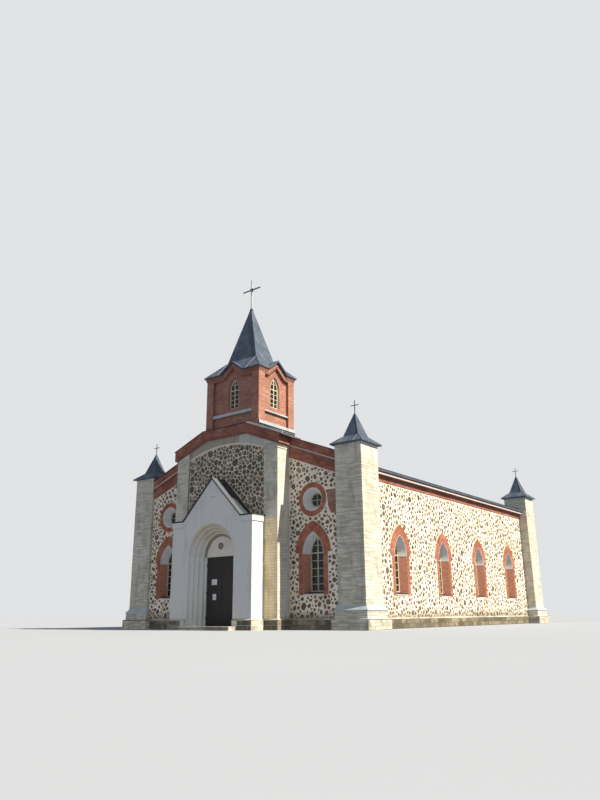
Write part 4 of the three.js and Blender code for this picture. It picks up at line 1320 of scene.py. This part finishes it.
def side_cornices():
    rng = random.Random(95)
    bm, string = bmesh.new(), bmesh.new()
    start, end, top = TURRET_BACK, REAR_TURRETS, SIDE_CORNICE_MIDDLE + STRING_HEIGHT
    right = wall_frame(0, 0, 90)
    lower = rectangle(start, end, SIDE_CORNICE_BOTTOM, SIDE_CORNICE_MIDDLE)
    lay_bricks(bm, lower, rng, -SIDE_FACE - LOWER_PROUD, matrix=right)
    lay_bricks(bm, rectangle(start, end, top, SIDE_CORNICE_TOP), rng, -SIDE_CORNICE_X, matrix=right)
    slab(string, rectangle(start, end, SIDE_CORNICE_MIDDLE - 0.002, top), -SIDE_CORNICE_X - 0.012,
         -SIDE_CORNICE_X + 0.01)
    string.transform(right)
    for part in (bm, string):
        mirrored(part, MIRROR_X)
    finish_piece("side_cornice_bricks", bm, BRICK)
    finish_piece("side_cornice_string", string, BAND_PLASTER)


def rear_roof_line(x):
    return REAR_CORNICE_TOP - ROOF_SLOPE * abs(x)


def rear_cornice():
    rng = random.Random(97)
    bm = bmesh.new()
    for x0, x1, tilt in ((0, TURRET_INNER, -CORNICE_TILT), (-TURRET_INNER, 0, CORNICE_TILT)):
        for high, low, proud in ((0.002, UPPER_BAND, UPPER_PROUD), (UPPER_BAND, CORNICE_BAND, LOWER_PROUD)):
            lay_bricks(bm, sloped_band(x0, x1, high, low, rear_roof_line), rng, -proud, tilt, REAR_WALL)
    finish_piece("rear_cornice_bricks", bm, BRICK)


# Tower

TOWER_X = 1.616
TOWER_DEPTH = 1.265
TOWER_Y = 1.634
TOWER_SEAT = 11.3
LESENE = 0.42
PANEL_TOP = 11.06
PANEL_DEPTH = 0.12
GABLET_HALF = 0.638
GABLET_APEX = 11.799
PANEL_GABLET_FOOT = 0.608
PANEL_GABLET_APEX = 11.559
KERB_TOP = 8.78
KERB_PROUD = 0.02
LANCET = (0.32, 9.6, 10.49, 11.1)
LANCET_RING = 0.12
LANCET_FRAME = 0.255
LANCET_ORDER = 0.035
LEDGE_Z = 9.342
CORBEL_COURSES = [(0.15, 0.075, 0.028), (0.075, 0.002, 0.055)]
KERB_FOOT = 8.65
APRON_FOOT = 8.3
TOOTH_SIZE = 0.13
POST_FOOT = 14.95
POST_TOP = 16.549


def lancet_line(grow):
    """Outline of the tower window, grown sideways and upwards, from its right foot to its left foot"""
    half, sill, spring, apex = LANCET
    return [(half + grow, sill)] + arch(half + grow, spring, apex + 1.3 * grow, 12) + [(-half - grow, sill)]


def brick_ends(bm, line, low, high, out, matrix, size=BRICK_COURSE, gap=BRICK_JOINT):
    """Row of brick ends along a line in x and z, between two depths, raised to the left of its direction"""
    for (x0, z0), (x1, z1) in zip(line, line[1:]):
        length = math.hypot(x1 - x0, z1 - z0)
        count = max(1, round(length / size))
        row = bmesh.new()
        for i in range(count):
            start, end = i * length / count + gap / 2, (i + 1) * length / count - gap / 2
            block(row, (start, low, -0.002), (end, high, out))
        turn = Matrix.Rotation(-math.atan2(z1 - z0, x1 - x0), 4, "Y")
        merge(bm, row, matrix @ Matrix.Translation((x0, 0, z0)) @ turn)


def tower_face(bm, trims, half, foot, rng, matrix):
    """Bricks of one tower wall: lesenes, gablet, the recessed panel and the window's surround"""
    inside = half - LESENE
    shoulder = [(PANEL_GABLET_FOOT, PANEL_TOP), (inside, PANEL_TOP), (inside, TOWER_SEAT),
                (GABLET_HALF, TOWER_SEAT), (0, GABLET_APEX), (0, PANEL_GABLET_APEX)]
    ring = lancet_line(LANCET_RING)
    edge = [(inside, KERB_TOP), (inside, PANEL_TOP), (PANEL_GABLET_FOOT, PANEL_TOP), (0, PANEL_GABLET_APEX)]
    field = [(0, KERB_TOP)] + edge + list(reversed(ring[:len(ring) // 2 + 1])) + [(0, LANCET[1])]
    for turned in (list, flipped):
        lay_bricks(bm, turned(rectangle(inside, half, KERB_TOP, TOWER_SEAT)), rng, matrix=matrix)
        lay_bricks(bm, turned(shoulder), rng, matrix=matrix)
        lay_bricks(bm, turned(field), rng, PANEL_DEPTH, matrix=matrix)
    if foot:
        lay_bricks(bm, foot, rng, matrix=matrix)
    ring_faces = bmesh.new()
    ring_bricks(ring_faces, ring, lancet_line(0), 44, rng, PANEL_DEPTH)
    merge(trims, ring_faces, matrix)
    brick_ends(trims, edge + flipped(edge[:-1]), 0.001, PANEL_DEPTH, BRICK_RISE, matrix)
    brick_ends(trims, lancet_line(0), PANEL_DEPTH, LANCET_FRAME - 0.005, BRICK_RISE, matrix)
    order = bmesh.new()
    ring_slab(order, lancet_line(-0.001), lancet_line(-LANCET_ORDER), PANEL_DEPTH + 0.03, LANCET_FRAME)
    merge(trims, order, matrix)
    rake = [(x, z + 0.05) for x, z in edge[1:]]
    brick_ends(trims, rake + flipped(rake[:-1]), -0.022, 0.0, 0.08, matrix, TOOTH_SIZE, gap=0.04)


def eave_corbels(bm, half, reach, matrix):
    """Brick courses that step out under the level eaves beside a gablet"""
    for low, high, proud in CORBEL_COURSES:
        z = TOWER_SEAT - low
        for side in (1, -1):
            line = [(side * GABLET_HALF, z), (side * (half + reach * proud), z)]
            brick_ends(bm, sorted(line), -proud, 0.0, low - high, matrix, TOOTH_SIZE)


def tower_masonry():
    rng = random.Random(101)
    slope_end = CORNICE_TOP - ROOF_SLOPE * (TOWER_X - CORNICE_FLAT)
    front_foot = [(-TOWER_X, slope_end), (-CORNICE_FLAT, CORNICE_TOP), (CORNICE_FLAT, CORNICE_TOP),
                  (TOWER_X, slope_end), (TOWER_X, KERB_TOP), (-TOWER_X, KERB_TOP)]
    bm, trims = bmesh.new(), bmesh.new()
    for name, (matrix, half) in tower_frames().items():
        tower_face(bm, trims, half, front_foot if name == "front" else None, rng, matrix)
        eave_corbels(trims, half, 1 if name in ("front", "rear") else 0, matrix)
    finish_piece("tower_bricks", bm, TOWER_BRICK)
    finish_piece("tower_brick_trims", trims, TOWER_BRICK)


def tower_frames():
    """Frame and half width of each tower wall"""
    return {
        "front": (wall_frame(0, TOWER_Y - TOWER_DEPTH, 0), TOWER_X),
        "rear": (wall_frame(0, TOWER_Y + TOWER_DEPTH, 180), TOWER_X),
        "right": (wall_frame(TOWER_X, TOWER_Y, 90), TOWER_DEPTH),
        "left": (wall_frame(-TOWER_X, TOWER_Y, -90), TOWER_DEPTH),
    }


def tower_windows_and_ledges():
    wood, pane, pale, blue = (bmesh.new() for _ in range(4))
    half, sill, spring, apex = LANCET
    for name, (matrix, width) in tower_frames().items():
        frame_part, glass_part, ledge = (bmesh.new() for _ in range(3))
        window_woodwork(frame_part, 0.0, half - LANCET_ORDER, sill, spring, apex - 1.3 * LANCET_ORDER,
                        rows=4, rim=0.055, bar=0.028, offset=-0.12)
        merge(wood, frame_part, matrix)
        window_glass(glass_part, 0.0, half, sill, spring, apex, offset=-0.12)
        merge(pane, glass_part, matrix)
        into, rise, drop = (blue, 0.07, 0.14) if name == "front" else (pale, 0.03, 0.07)
        tower_ledge(ledge, width - LESENE, LEDGE_Z + rise, drop)
        merge(into, ledge, matrix)
    frames = finish_piece("tower_window_frames", wood, FRAME_PAINT)
    finish_piece("tower_window_panes", pane, GLASS)
    finish_piece("tower_ledge_front", blue, BLUE_METAL)
    finish_piece("tower_ledges", pale, PALE_METAL)
    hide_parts(*(f"tower_window_{side}" for side in ("front", "rear", "right", "left")))


def tower_ledge(bm, half, top, height):
    """Sheet-metal ledge across the recessed panel, with a drip edge of the given height"""
    out = 0.02
    profile = [(PANEL_DEPTH + 0.01, top - 0.03), (out + 0.01, top - 0.03), (out + 0.01, top - height),
               (out, top - height), (out, top), (PANEL_DEPTH + 0.01, top + 0.04)]
    sweep(bm, [[(-half, y, z), (half, y, z)] for y, z in profile])


def tower_path(out):
    """Plan of the tower's right, rear and left sides, moved outwards"""
    x, y0, y1 = TOWER_X + out, TOWER_Y - TOWER_DEPTH, TOWER_Y + TOWER_DEPTH + out
    return [(x, y0), (x, y1), (-x, y1), (-x, y0)]


def tower_kerb():
    kerb, apron = bmesh.new(), bmesh.new()
    moulding(kerb, tower_path, [(0.05, KERB_FOOT), (0.05, KERB_TOP), (0.0, KERB_TOP + 0.03),
                                (-0.01, KERB_TOP + 0.03), (-0.01, KERB_FOOT)])
    finish_piece("tower_kerb_flashing", kerb, PALE_METAL)
    # Near-black band under the kerb: painted shadow of the kerb
    inner = KERB_PROUD - 0.005
    moulding(apron, tower_path, [(0.03, APRON_FOOT), (0.034, KERB_FOOT), (inner, KERB_FOOT),
                                 (inner, APRON_FOOT)])
    finish_piece("tower_kerb_apron_painted_shadow", apron, SHADOW_GAP_METAL)


def cross_post():
    """Pale zinc sleeve on the post of the spire's cross"""
    bm = bmesh.new()
    x, y = 0.027, 0.036
    block(bm, (-x, TOWER_Y - y, POST_FOOT), (x, TOWER_Y + y, POST_TOP), 0.004)
    finish_piece("tower_cross_sleeve", bm, PALE_METAL)


# Sheet-metal roofs

SPIRE_CORNERS = [(1.726, 1.375, 11.345), (0.885, 0.635, 12.14), (0.045, 0.045, 14.9)]
TURRET_ROOF_CORNERS = [(0.769, 7.13), (0.36, 7.456), (0.018, 8.449)]
TURRET_MIDDLE_X = (TURRET_INNER + TURRET_OUTER) / 2
TURRET_MIDDLE_Y = (TURRET_FRONT + TURRET_BACK) / 2
QUARTERS = [(-1, -1), (-1, 1), (1, -1), (1, 1)]
SEAM_PITCH = 0.6
SEAM_START = 1.7
ROOF_REACH = 6.44


def roof_rolls():
    """Rolls along the hips of the spire and the turret roofs"""
    bm, small = bmesh.new(), bmesh.new()
    for sx, sy in QUARTERS:
        rods(bm, [(sx * x, TOWER_Y + sy * y, z) for x, y, z in SPIRE_CORNERS], 0.016)
        rods(small, [(TURRET_MIDDLE_X + sx * half, TURRET_MIDDLE_Y + sy * half, z)
                     for half, z in TURRET_ROOF_CORNERS], 0.012)
    mirrored(small, MIRROR_X, MIRROR_Y)
    merge(bm, small)
    finish_piece("roof_hip_rolls", bm, ROOF_METAL, sharp=40)


def skirt_seams():
    """Pale sealed seams that run up the flared skirts of the spire and the turret roofs"""
    bm, small = bmesh.new(), bmesh.new()
    (_, eave_y, eave_z), (seam_x, base_y, base_z), _ = SPIRE_CORNERS
    for sx, sy in QUARTERS:
        rod(bm, (sx * seam_x, TOWER_Y + sy * eave_y, eave_z),
            (sx * seam_x, TOWER_Y + sy * base_y, base_z), 0.014)
    (eave, eave_z), (base, base_z), _ = TURRET_ROOF_CORNERS
    place = Matrix.Translation((TURRET_MIDDLE_X, TURRET_MIDDLE_Y, 0))
    for turn in (0, 90, 180, 270):
        face = bmesh.new()
        for side in (-0.94 * base, 0.94 * base):
            rod(face, (side, -eave, eave_z), (side, -base, base_z), 0.011)
        merge(small, face, place @ Matrix.Rotation(math.radians(turn), 4, "Z"))
    mirrored(small, MIRROR_X, MIRROR_Y)
    merge(bm, small)
    finish_piece("roof_skirt_seams", bm, SEAM_METAL, sharp=40)


def nave_roof_seams():
    """Standing seams of the nave roof, 0.6 m apart, and the cap on the ridge"""
    bm = bmesh.new()
    end = REAR_FACE + 0.16
    slope = math.atan(ROOF_SLOPE)
    placed = Matrix.Translation((0, 0, NAVE_RIDGE)) @ Matrix.Rotation(slope, 4, "Y")
    for y in spaced(SEAM_START, end, round((end - SEAM_START) / SEAM_PITCH)):
        reach = ROOF_REACH if TURRET_BACK + 0.1 < y < REAR_TURRETS - 0.1 else TURRET_INNER - 0.01
        seam = bmesh.new()
        block(seam, (0.03, y - 0.006, -0.002), (reach / math.cos(slope) - 0.05, y + 0.006, 0.026), 0.002)
        merge(bm, seam, placed)
    mirrored(bm, MIRROR_X)
    cap = NAVE_RIDGE + 0.015
    rod(bm, (0, 2.95, cap), (0, REAR_FACE + 0.17, cap), 0.05, 12)
    finish_piece("nave_roof_seams", bm, ROOF_METAL)


# Middle bay: the plastered band, the capitals, the porch and the door

BAND_SPLIT = 0.8
BEAD_PROFILE = [(0.0, 0.03), (-0.05, 0.03), (-0.055, 0.0), (-0.03, -0.03), (0.0, -0.035)]
CAPITAL_RINGS = [(7.25, 7.31, 0.03), (7.37, 7.43, 0.045)]


def band_part(x0, x1):
    low = [(x, band_bottom(x)) for x in spaced(x0, x1, 10)]
    folds = [x for x in (FOLD_X, -FOLD_X) if x0 < x < x1]
    return low + [(x, under_cornice(x)) for x in [x1] + folds + [x0]]


def band_and_capitals():
    """Plastered band, weathered brown at the left and whitened at the right, with a bead along its arc"""
    half = PILASTER_INNER - 0.001
    bead, capital = bmesh.new(), bmesh.new()
    for name, x0, x1, material in (("left", -half, BAND_SPLIT, BROWN_PLASTER),
                                   ("right", BAND_SPLIT, half, BAND_PLASTER)):
        bm = bmesh.new()
        slab(bm, band_part(x0, x1), -0.025, 0.002)
        bm.transform(FRONT_PANEL)
        finish_piece(f"cornice_band_{name}", bm, material)
    line = spaced(-half, half, 24)
    sweep(bead, [[(x, y, band_bottom(x) + rise) for x in line] for y, rise in BEAD_PROFILE])
    bead.transform(FRONT_PANEL)
    finish_piece("cornice_band_bead", bead, PORTAL_PLASTER, sharp=30)
    for low, high, proud in CAPITAL_RINGS:
        block(capital, (PILASTER_INNER - 0.02, -proud, low),
              (PILASTER_OUTER + proud, BAY_FACE - 0.03, high), 0.012)
    mirrored(capital, MIRROR_X)
    finish_piece("pilaster_capitals", capital, LIMESTONE)


# Porch: stepped portal, marks on the plaster and a string under the eaves

PORCH_HALF = 2.305
PORCH_FRONT = -0.752
PORCH_APEX = 6.234
PORCH_EAVE = 4.51
PORCH_GABLE_FOOT = 1.678
PORTAL_HALF = 1.33
DOOR_HALF = 0.862
DOOR_HEAD = 2.95
DOOR_PLANE = -0.052
ORDERS = 4
ORDER_INSET = (PORTAL_HALF - DOOR_HALF) / ORDERS
ORDER_DEPTH = (DOOR_PLANE - PORCH_FRONT) / ORDERS
FLOOR_TOP = 0.15
ROLL_RADIUS = 0.034
PLASTER_COAT = 0.005
RING_CENTRE = (-0.042, 3.391)
VENT_Z = 5.38
STRING_START = 1.66
STRING_PROFILE = [(0.036, 4.22), (0.042, 4.23), (0.042, 4.26), (0.036, 4.27), (0.036, 4.4), (0.05, 4.42),
                  (0.05, 4.448), (0.02, 4.448), (0.02, 4.22)]
RAKE_BAND = [(1.7, 4.27), (1.7, 4.44), (1.66, 4.448), (0, 6.165), (0, 5.86), (1.42, 4.4), (1.6, 4.24)]


def portal_arch(half):
    return arch(half, DOOR_HEAD, DOOR_HEAD + half, 28)


def swept_arch(bm, profile, line):
    """Sweeps a closed profile of half width and depth along the portal's head or jamb line"""
    sweep(bm, [[(x, y, z) for x, z in line(half)] for half, y in profile])


def right_jamb(half):
    return [(half, FLOOR_TOP + 0.002), (half, DOOR_HEAD)]


def left_jamb(half):
    return [(-x, z) for x, z in right_jamb(half)]


def portal():
    """Plaster coats and round rolls on the steps of the portal, and the filled head over the door"""
    head, rolls, jambs, fill, rim = (bmesh.new() for _ in range(5))
    for i in range(ORDERS):
        half, front = PORTAL_HALF - i * ORDER_INSET, PORCH_FRONT + i * ORDER_DEPTH
        inner, back = half - ORDER_INSET, front + ORDER_DEPTH
        coat = [(half, front), (half - PLASTER_COAT, front), (half - PLASTER_COAT, back - PLASTER_COAT),
                (inner, back - PLASTER_COAT), (inner, back), (half, back)]
        roll = circle(ROLL_RADIUS, 10, (half - 0.004, front + 0.05))
        fillet = circle(0.5 * ROLL_RADIUS, 8, (half - 0.004, front + 0.7 * ORDER_DEPTH))
        swept_arch(head, coat, portal_arch)
        for profile in (roll, fillet):
            swept_arch(rolls, profile, portal_arch)
        for profile in (coat, roll, fillet):
            swept_arch(jambs, profile, right_jamb)
            swept_arch(jambs, profile, left_jamb)
    finish_piece("portal_arch_coats", head, PORTAL_SHADE, sharp=40)
    finish_piece("portal_arch_rolls", rolls, PORTAL_PLASTER, sharp=40)
    finish_piece("portal_jamb_mouldings", jambs, JAMB_PLASTER, sharp=40)
    slab(fill, portal_arch(PORTAL_HALF - 3 * ORDER_INSET - 0.006), DOOR_PLANE - 0.012, DOOR_PLANE + 0.001)
    finish_piece("portal_head_plaster", fill, HEAD_PLASTER)
    # Dark olive ring inside the innermost arch: painted shade of its soffit
    ring_slab(rim, portal_arch(0.973), portal_arch(0.84), DOOR_PLANE - 0.03, DOOR_PLANE - 0.011)
    finish_piece("portal_head_rim", rim, SOFFIT_PAINTED_SHADE)
    ring_and_vents()


def ring_and_vents():
    """Ring with eight spokes over the door, and two slots in the gable"""
    bm = bmesh.new()
    x, z = RING_CENTRE
    ring_slab(bm, circle(0.135, 24, RING_CENTRE), circle(0.085, 24, RING_CENTRE), DOOR_PLANE - 0.035,
              DOOR_PLANE - 0.01, closed=True)
    for angle in (0, 45, 90, 135):
        spoke = bmesh.new()
        block(spoke, (-0.09, DOOR_PLANE - 0.022, -0.007), (0.09, DOOR_PLANE - 0.011, 0.007), 0.002)
        merge(bm, spoke, Matrix.Translation((x, 0, z)) @ Matrix.Rotation(math.radians(angle), 4, "Y"))
    for x in (-0.07, 0.09):
        block(bm, (x, PORCH_FRONT - 0.004, VENT_Z), (x + 0.09, PORCH_FRONT + 0.01, VENT_Z + 0.025), 0.001)
    finish_piece("porch_ring_and_vents", bm, RUST_METAL)


def porch_string():
    """White plaster cornice band of the porch, run round its front corners under the eaves"""
    bm, verge = bmesh.new(), bmesh.new()
    moulding(bm, string_path, STRING_PROFILE)
    slab(bm, RAKE_BAND, PORCH_FRONT - 0.016, PORCH_FRONT + 0.001)
    rise = PORCH_APEX - PORCH_EAVE
    length = math.hypot(rise, PORCH_GABLE_FOOT)
    block(verge, (0.02, PORCH_FRONT - 0.055, 0.0), (length, PORCH_FRONT + 0.23, 0.012), 0.003)
    slope = Matrix.Rotation(math.atan2(rise, PORCH_GABLE_FOOT), 4, "Y")
    verge.transform(Matrix.Translation((0, 0, PORCH_APEX)) @ slope)
    for part in (bm, verge):
        mirrored(part, MIRROR_X)
    finish_piece("porch_string_course", bm, PLASTER)
    finish_piece("porch_verge_flashing", verge, VERGE_METAL)


def string_path(out):
    """Plan of the porch's string on the right half, moved outwards"""
    front = PORCH_FRONT - out
    return [(STRING_START, front), (PORCH_HALF + out, front), (PORCH_HALF + out, -0.02)]


# Door leaves: boards outside, ledges inside, a latch, and blank sheets

LEAF_EDGES = (0.012, 0.826)
BOARD_FOOT = 0.172
BOARD_TOP = 2.93
DOOR_LEDGES = (0.35, 1.5, 2.62)
LATCH_Z = 1.2
BLANK_SHEETS = [((-0.565, 1.8), (-0.255, 2.03)), ((-0.49, 1.19), (-0.285, 1.43))]


def door_leaves():
    latch, sheets = bmesh.new(), bmesh.new()
    edges = spaced(*LEAF_EDGES, 6)
    for side, sign, _ in SIDES:
        bm = bmesh.new()
        for low, high in zip(edges, edges[1:]):
            block(bm, (low + 0.003, -0.029, BOARD_FOOT), (high - 0.003, -0.019, BOARD_TOP), 0.004)
        for z in DOOR_LEDGES:
            block(bm, (0.05, 0.029, z), (0.77, 0.05, z + 0.14), 0.005)
        if sign < 0:
            bm.transform(MIRROR_X)
        finish_piece(f"{side}_door_boards", bm, DOOR_PAINT, f"{side}_door")
    block(latch, (0.06, -0.035, LATCH_Z - 0.15), (0.1, -0.028, LATCH_Z + 0.09), 0.003)
    rod(latch, (0.08, -0.034, LATCH_Z), (0.08, -0.07, LATCH_Z), 0.009)
    rod(latch, (0.075, -0.07, LATCH_Z), (0.19, -0.07, LATCH_Z), 0.01)
    finish_piece("right_door_latch", latch, DARK_METAL, "right_door")
    for (x0, z0), (x1, z1) in BLANK_SHEETS:
        block(sheets, (x0, -0.0315, z0), (x1, -0.0295, z1), 0.0005)
    finish_piece("left_door_blank_sheets", sheets, PAPER, "left_door")


# Plinth blocks and the ledges on them

SLAB_EDGES = [-1.585, -0.62, 0.31, 1.585]
TOOTHING = [(4.97, 4.72), (5.1, 4.42), (5.4, 4.38), (5.4, 5.36), (4.9, 5.36), (4.93, 5.2)]
TURRET_STOP = 0.21
PILASTER_STOP = 0.06
LEDGE_PROFILE = [(0.062, 0.375), (0.062, 0.395), (0.006, 0.43), (-0.004, 0.43), (-0.004, 0.375)]


def plinth_blocks(bm, x0, x1, matrix, rng, course=0.185, length=0.48):
    coursed_blocks(bm, rectangle(x0, x1, 0.008, PLINTH_TOP - 0.022), matrix, rng, 0.01, course, length,
                   0.016, ragged=0.4, bevel=0.005)


def plinth_paths(out):
    """Plan of the plinths of the right half, moved outwards: pilaster, bay, side wall, porch pier"""
    return [
        [(PILASTER_INNER + PILASTER_STOP, -out), (PILASTER_OUTER + out, -out),
         (PILASTER_OUTER + out, BAY_FACE - 0.01)],
        [(PILASTER_OUTER + PILASTER_STOP, BAY_FACE - out), (TURRET_INNER - TURRET_STOP, BAY_FACE - out)],
        [(SIDE_FACE + out, TURRET_BACK + TURRET_STOP), (SIDE_FACE + out, REAR_TURRETS - TURRET_STOP)],
        [(PORTAL_HALF, PORCH_FRONT - out), (PORCH_HALF + out, PORCH_FRONT - out), (PORCH_HALF + out, -0.06)],
    ]


def plinths():
    rng = random.Random(111)
    dark, pale, turret, ledge = (bmesh.new() for _ in range(4))
    step, half = PLINTH_STEP, TURRET_INNER - TURRET_STOP
    for bm, start, end, x, y, turn in (
            (dark, PILASTER_INNER + PILASTER_STOP, PILASTER_OUTER + step, 0, -step, 0),
            (dark, -step, BAY_FACE - 0.01, PILASTER_OUTER + step, 0, 90),
            (dark, PILASTER_OUTER + PILASTER_STOP, half, 0, BAY_FACE - step, 0),
            (dark, TURRET_BACK + TURRET_STOP, REAR_TURRETS - TURRET_STOP, SIDE_FACE + step, 0, 90),
            (dark, 1.6, PORCH_HALF + step, 0, PORCH_FRONT - step, 0),
            # Pale blocks on the porch piers' sunlit sides, dark granite on their fronts: partly painted
            # sunlight
            (pale, PORCH_FRONT - step, -0.06, PORCH_HALF + step, 0, 90)):
        plinth_blocks(bm, start, end, wall_frame(x, y, turn), rng)
    for matrix, left, right, _, _ in turret_faces(TURRET_PLINTH_STEP):
        plinth_blocks(turret, left, right, matrix, rng, course=0.125, length=0.4)
    mirrored(turret, MIRROR_Y)
    merge(pale, turret)
    for k in range(4):
        sweep(ledge, [[(x, y, z) for x, y in plinth_paths(out)[k]] for out, z in LEDGE_PROFILE])
    for bm in (dark, pale, ledge):
        mirrored(bm, MIRROR_X)
    plinth_blocks(dark, -half, half, wall_frame(0, REAR_FACE + step, 180), rng)
    sweep(ledge, [[(-half, REAR_FACE + out, z), (half, REAR_FACE + out, z)] for out, z in LEDGE_PROFILE])
    finish_piece("plinth_granite_blocks", dark, PLINTH, sharp=30)
    finish_piece("plinth_limestone_blocks", pale, PALE_PLINTH, sharp=30)
    finish_piece("plinth_ledges", ledge, CONCRETE)


def step_slabs():
    """Worn slabs on top of the step, with open joints between them"""
    rng = random.Random(121)
    bm = bmesh.new()
    back = PORCH_FRONT - 0.004
    for left, right in zip(SLAB_EDGES, SLAB_EDGES[1:]):
        block(bm, (left + 0.008, -1.265, 0.149), (right - 0.008, back, 0.156 + rng.uniform(0, 0.004)), 0.003)
    block(bm, (-1.83, -1.262, 0.0), (-1.592, -0.81, 0.048), 0.004)
    finish_piece("step_top_slabs", bm, CONCRETE)


def toothing_bricks():
    """Brick courses that tie the right turret to the bay beside the round window"""
    bm, bed = bmesh.new(), bmesh.new()
    lay_bricks(bm, TOOTHING, random.Random(131), matrix=FRONT_BAY)
    finish_piece("bay_toothing_bricks", bm, DUSTY_BRICK)
    slab(bed, TOOTHING, -0.0015, 0.002)
    bed.transform(FRONT_BAY)
    finish_piece("bay_toothing_bed", bed, BRICK_MORTAR)


# Camera, light and floor

def photo_camera():
    yaw, pitch, roll = (math.radians(a) for a in (CAMERA_YAW, CAMERA_PITCH, CAMERA_ROLL))
    ahead = Vector((-math.sin(yaw) * math.cos(pitch), math.cos(yaw) * math.cos(pitch), math.sin(pitch)))
    level = Vector((math.cos(yaw), math.sin(yaw), 0))
    up = level.cross(ahead)
    right = level * math.cos(roll) + up * math.sin(roll)
    top = up * math.cos(roll) - level * math.sin(roll)
    data = bpy.data.cameras.new("photo_camera")
    data.sensor_fit = "VERTICAL"
    data.sensor_height = SENSOR_MM
    data.lens = LENS_MM
    data.clip_end = 500
    camera = bpy.data.objects.new("photo_camera", data)
    turned = Matrix((right, top, -ahead)).transposed().to_4x4()
    camera.matrix_world = Matrix.Translation(CAMERA_PLACE) @ turned
    bpy.context.scene.collection.objects.link(camera)
    bpy.context.scene.camera = camera


def studio_light():
    scene = bpy.context.scene
    scene.view_settings.view_transform = "Standard"
    key = bpy.data.lights.new("key_light", "SUN")
    key.energy = KEY_STRENGTH
    key.color = linear(KEY_COLOUR)[:3]
    key.angle = math.radians(KEY_ANGLE)
    lamp = bpy.data.objects.new("key_light", key)
    lamp.matrix_world = Vector(KEY_DIRECTION).to_track_quat("Z", "Y").to_matrix().to_4x4()
    scene.collection.objects.link(lamp)
    world = bpy.data.worlds.new("studio")
    world.use_nodes = True
    scene.world = world
    tree = world.node_tree
    fill = tree.nodes["Background"]
    fill.inputs["Color"].default_value = linear(FILL_COLOUR)
    fill.inputs["Strength"].default_value = FILL_STRENGTH
    backdrop = add(tree, "ShaderNodeBackground",
                   {"Color": linear(BACKDROP_COLOUR), "Strength": BACKDROP_STRENGTH})
    seen = add(tree, "ShaderNodeLightPath").outputs["Is Camera Ray"]
    mixed = add(tree, "ShaderNodeMixShader", {0: seen, 1: fill.outputs[0], 2: backdrop.outputs[0]})
    tree.links.new(mixed.outputs[0], tree.nodes["World Output"].inputs["Surface"])


def lay_floor():
    bm = bmesh.new()
    bmesh.ops.create_grid(bm, x_segments=8, y_segments=8, size=150)
    mesh = bpy.data.meshes.new("studio_floor")
    bm.to_mesh(mesh)
    bm.free()
    mesh.materials.append(studio_floor())
    floor = bpy.data.objects.new("studio_floor", mesh)
    floor.visible_diffuse = False
    bpy.context.scene.collection.objects.link(floor)


def dress_cad_nodes():
    finishes = {
        "central_wall": MORTAR_PANEL, "bay_wall": MORTAR_BAY, "side_wall": MORTAR_BAY,
        "rear_wall": MORTAR_BAY, "bay_pilaster": LIMESTONE_BED, "turret": LIMESTONE_BED,
        "turret_roof": ROOF_METAL, "central_cornice": BRICK_MORTAR, "bay_cornice": BRICK_MORTAR,
        "side_cornice": BRICK_MORTAR, "rear_cornice": BRICK_MORTAR, "tower_wall": BRICK_MORTAR,
        "tower_window": FRAME_PAINT, "tower_roof": ROOF_METAL, "tower_cross": DARK_METAL,
        # The porch roof takes the dark flashing metal, darker than the other roofs: painted shade where the
        # facade shadows it
        "nave_roof": ROOF_METAL, "porch_roof": DARK_METAL, "porch": PLASTER, "nave_floor": CONCRETE,
        "entrance_steps": CONCRETE, "door": DOOR_PAINT, "front_window": FRAME_PAINT,
        "round_window": FRAME_PAINT, "side_window": FRAME_PAINT, "rear_window": FRAME_PAINT,
    }
    for name, node in nodes.items():
        start = max((key for key in finishes if name.startswith(key)), key=len)
        node.data.materials.clear()
        node.data.materials.append(finishes[start])


photo_camera()
studio_light()
lay_floor()
dress_cad_nodes()
bay_rubble()
panel_rubble()
long_rubble()
rear_rubble()
windows_of("front_window", (-WINDOW_X, WINDOW_X), FRONT_BAY, ("front_window_right", "front_window_left"), 51)
round_windows()
for seed, (side, sign, matrix) in enumerate(SIDES, 52):
    windows_of(f"side_window_{side}", [sign * y for y in SIDE_WINDOWS], matrix,
               [f"side_window_{side}_{i}" for i in (1, 2, 3, 4)], seed)
windows_of("rear_window", (-WINDOW_X, WINDOW_X), REAR_WALL, ("rear_window_right", "rear_window_left"), 54)
pilasters()
turret_stonework()
turret_flashings()
central_cornice()
bay_cornices()
side_cornices()
rear_cornice()
tower_masonry()
tower_windows_and_ledges()
tower_kerb()
roof_rolls()
skirt_seams()
nave_roof_seams()
band_and_capitals()
portal()
porch_string()
door_leaves()
plinths()
step_slabs()
toothing_bricks()
cross_post()
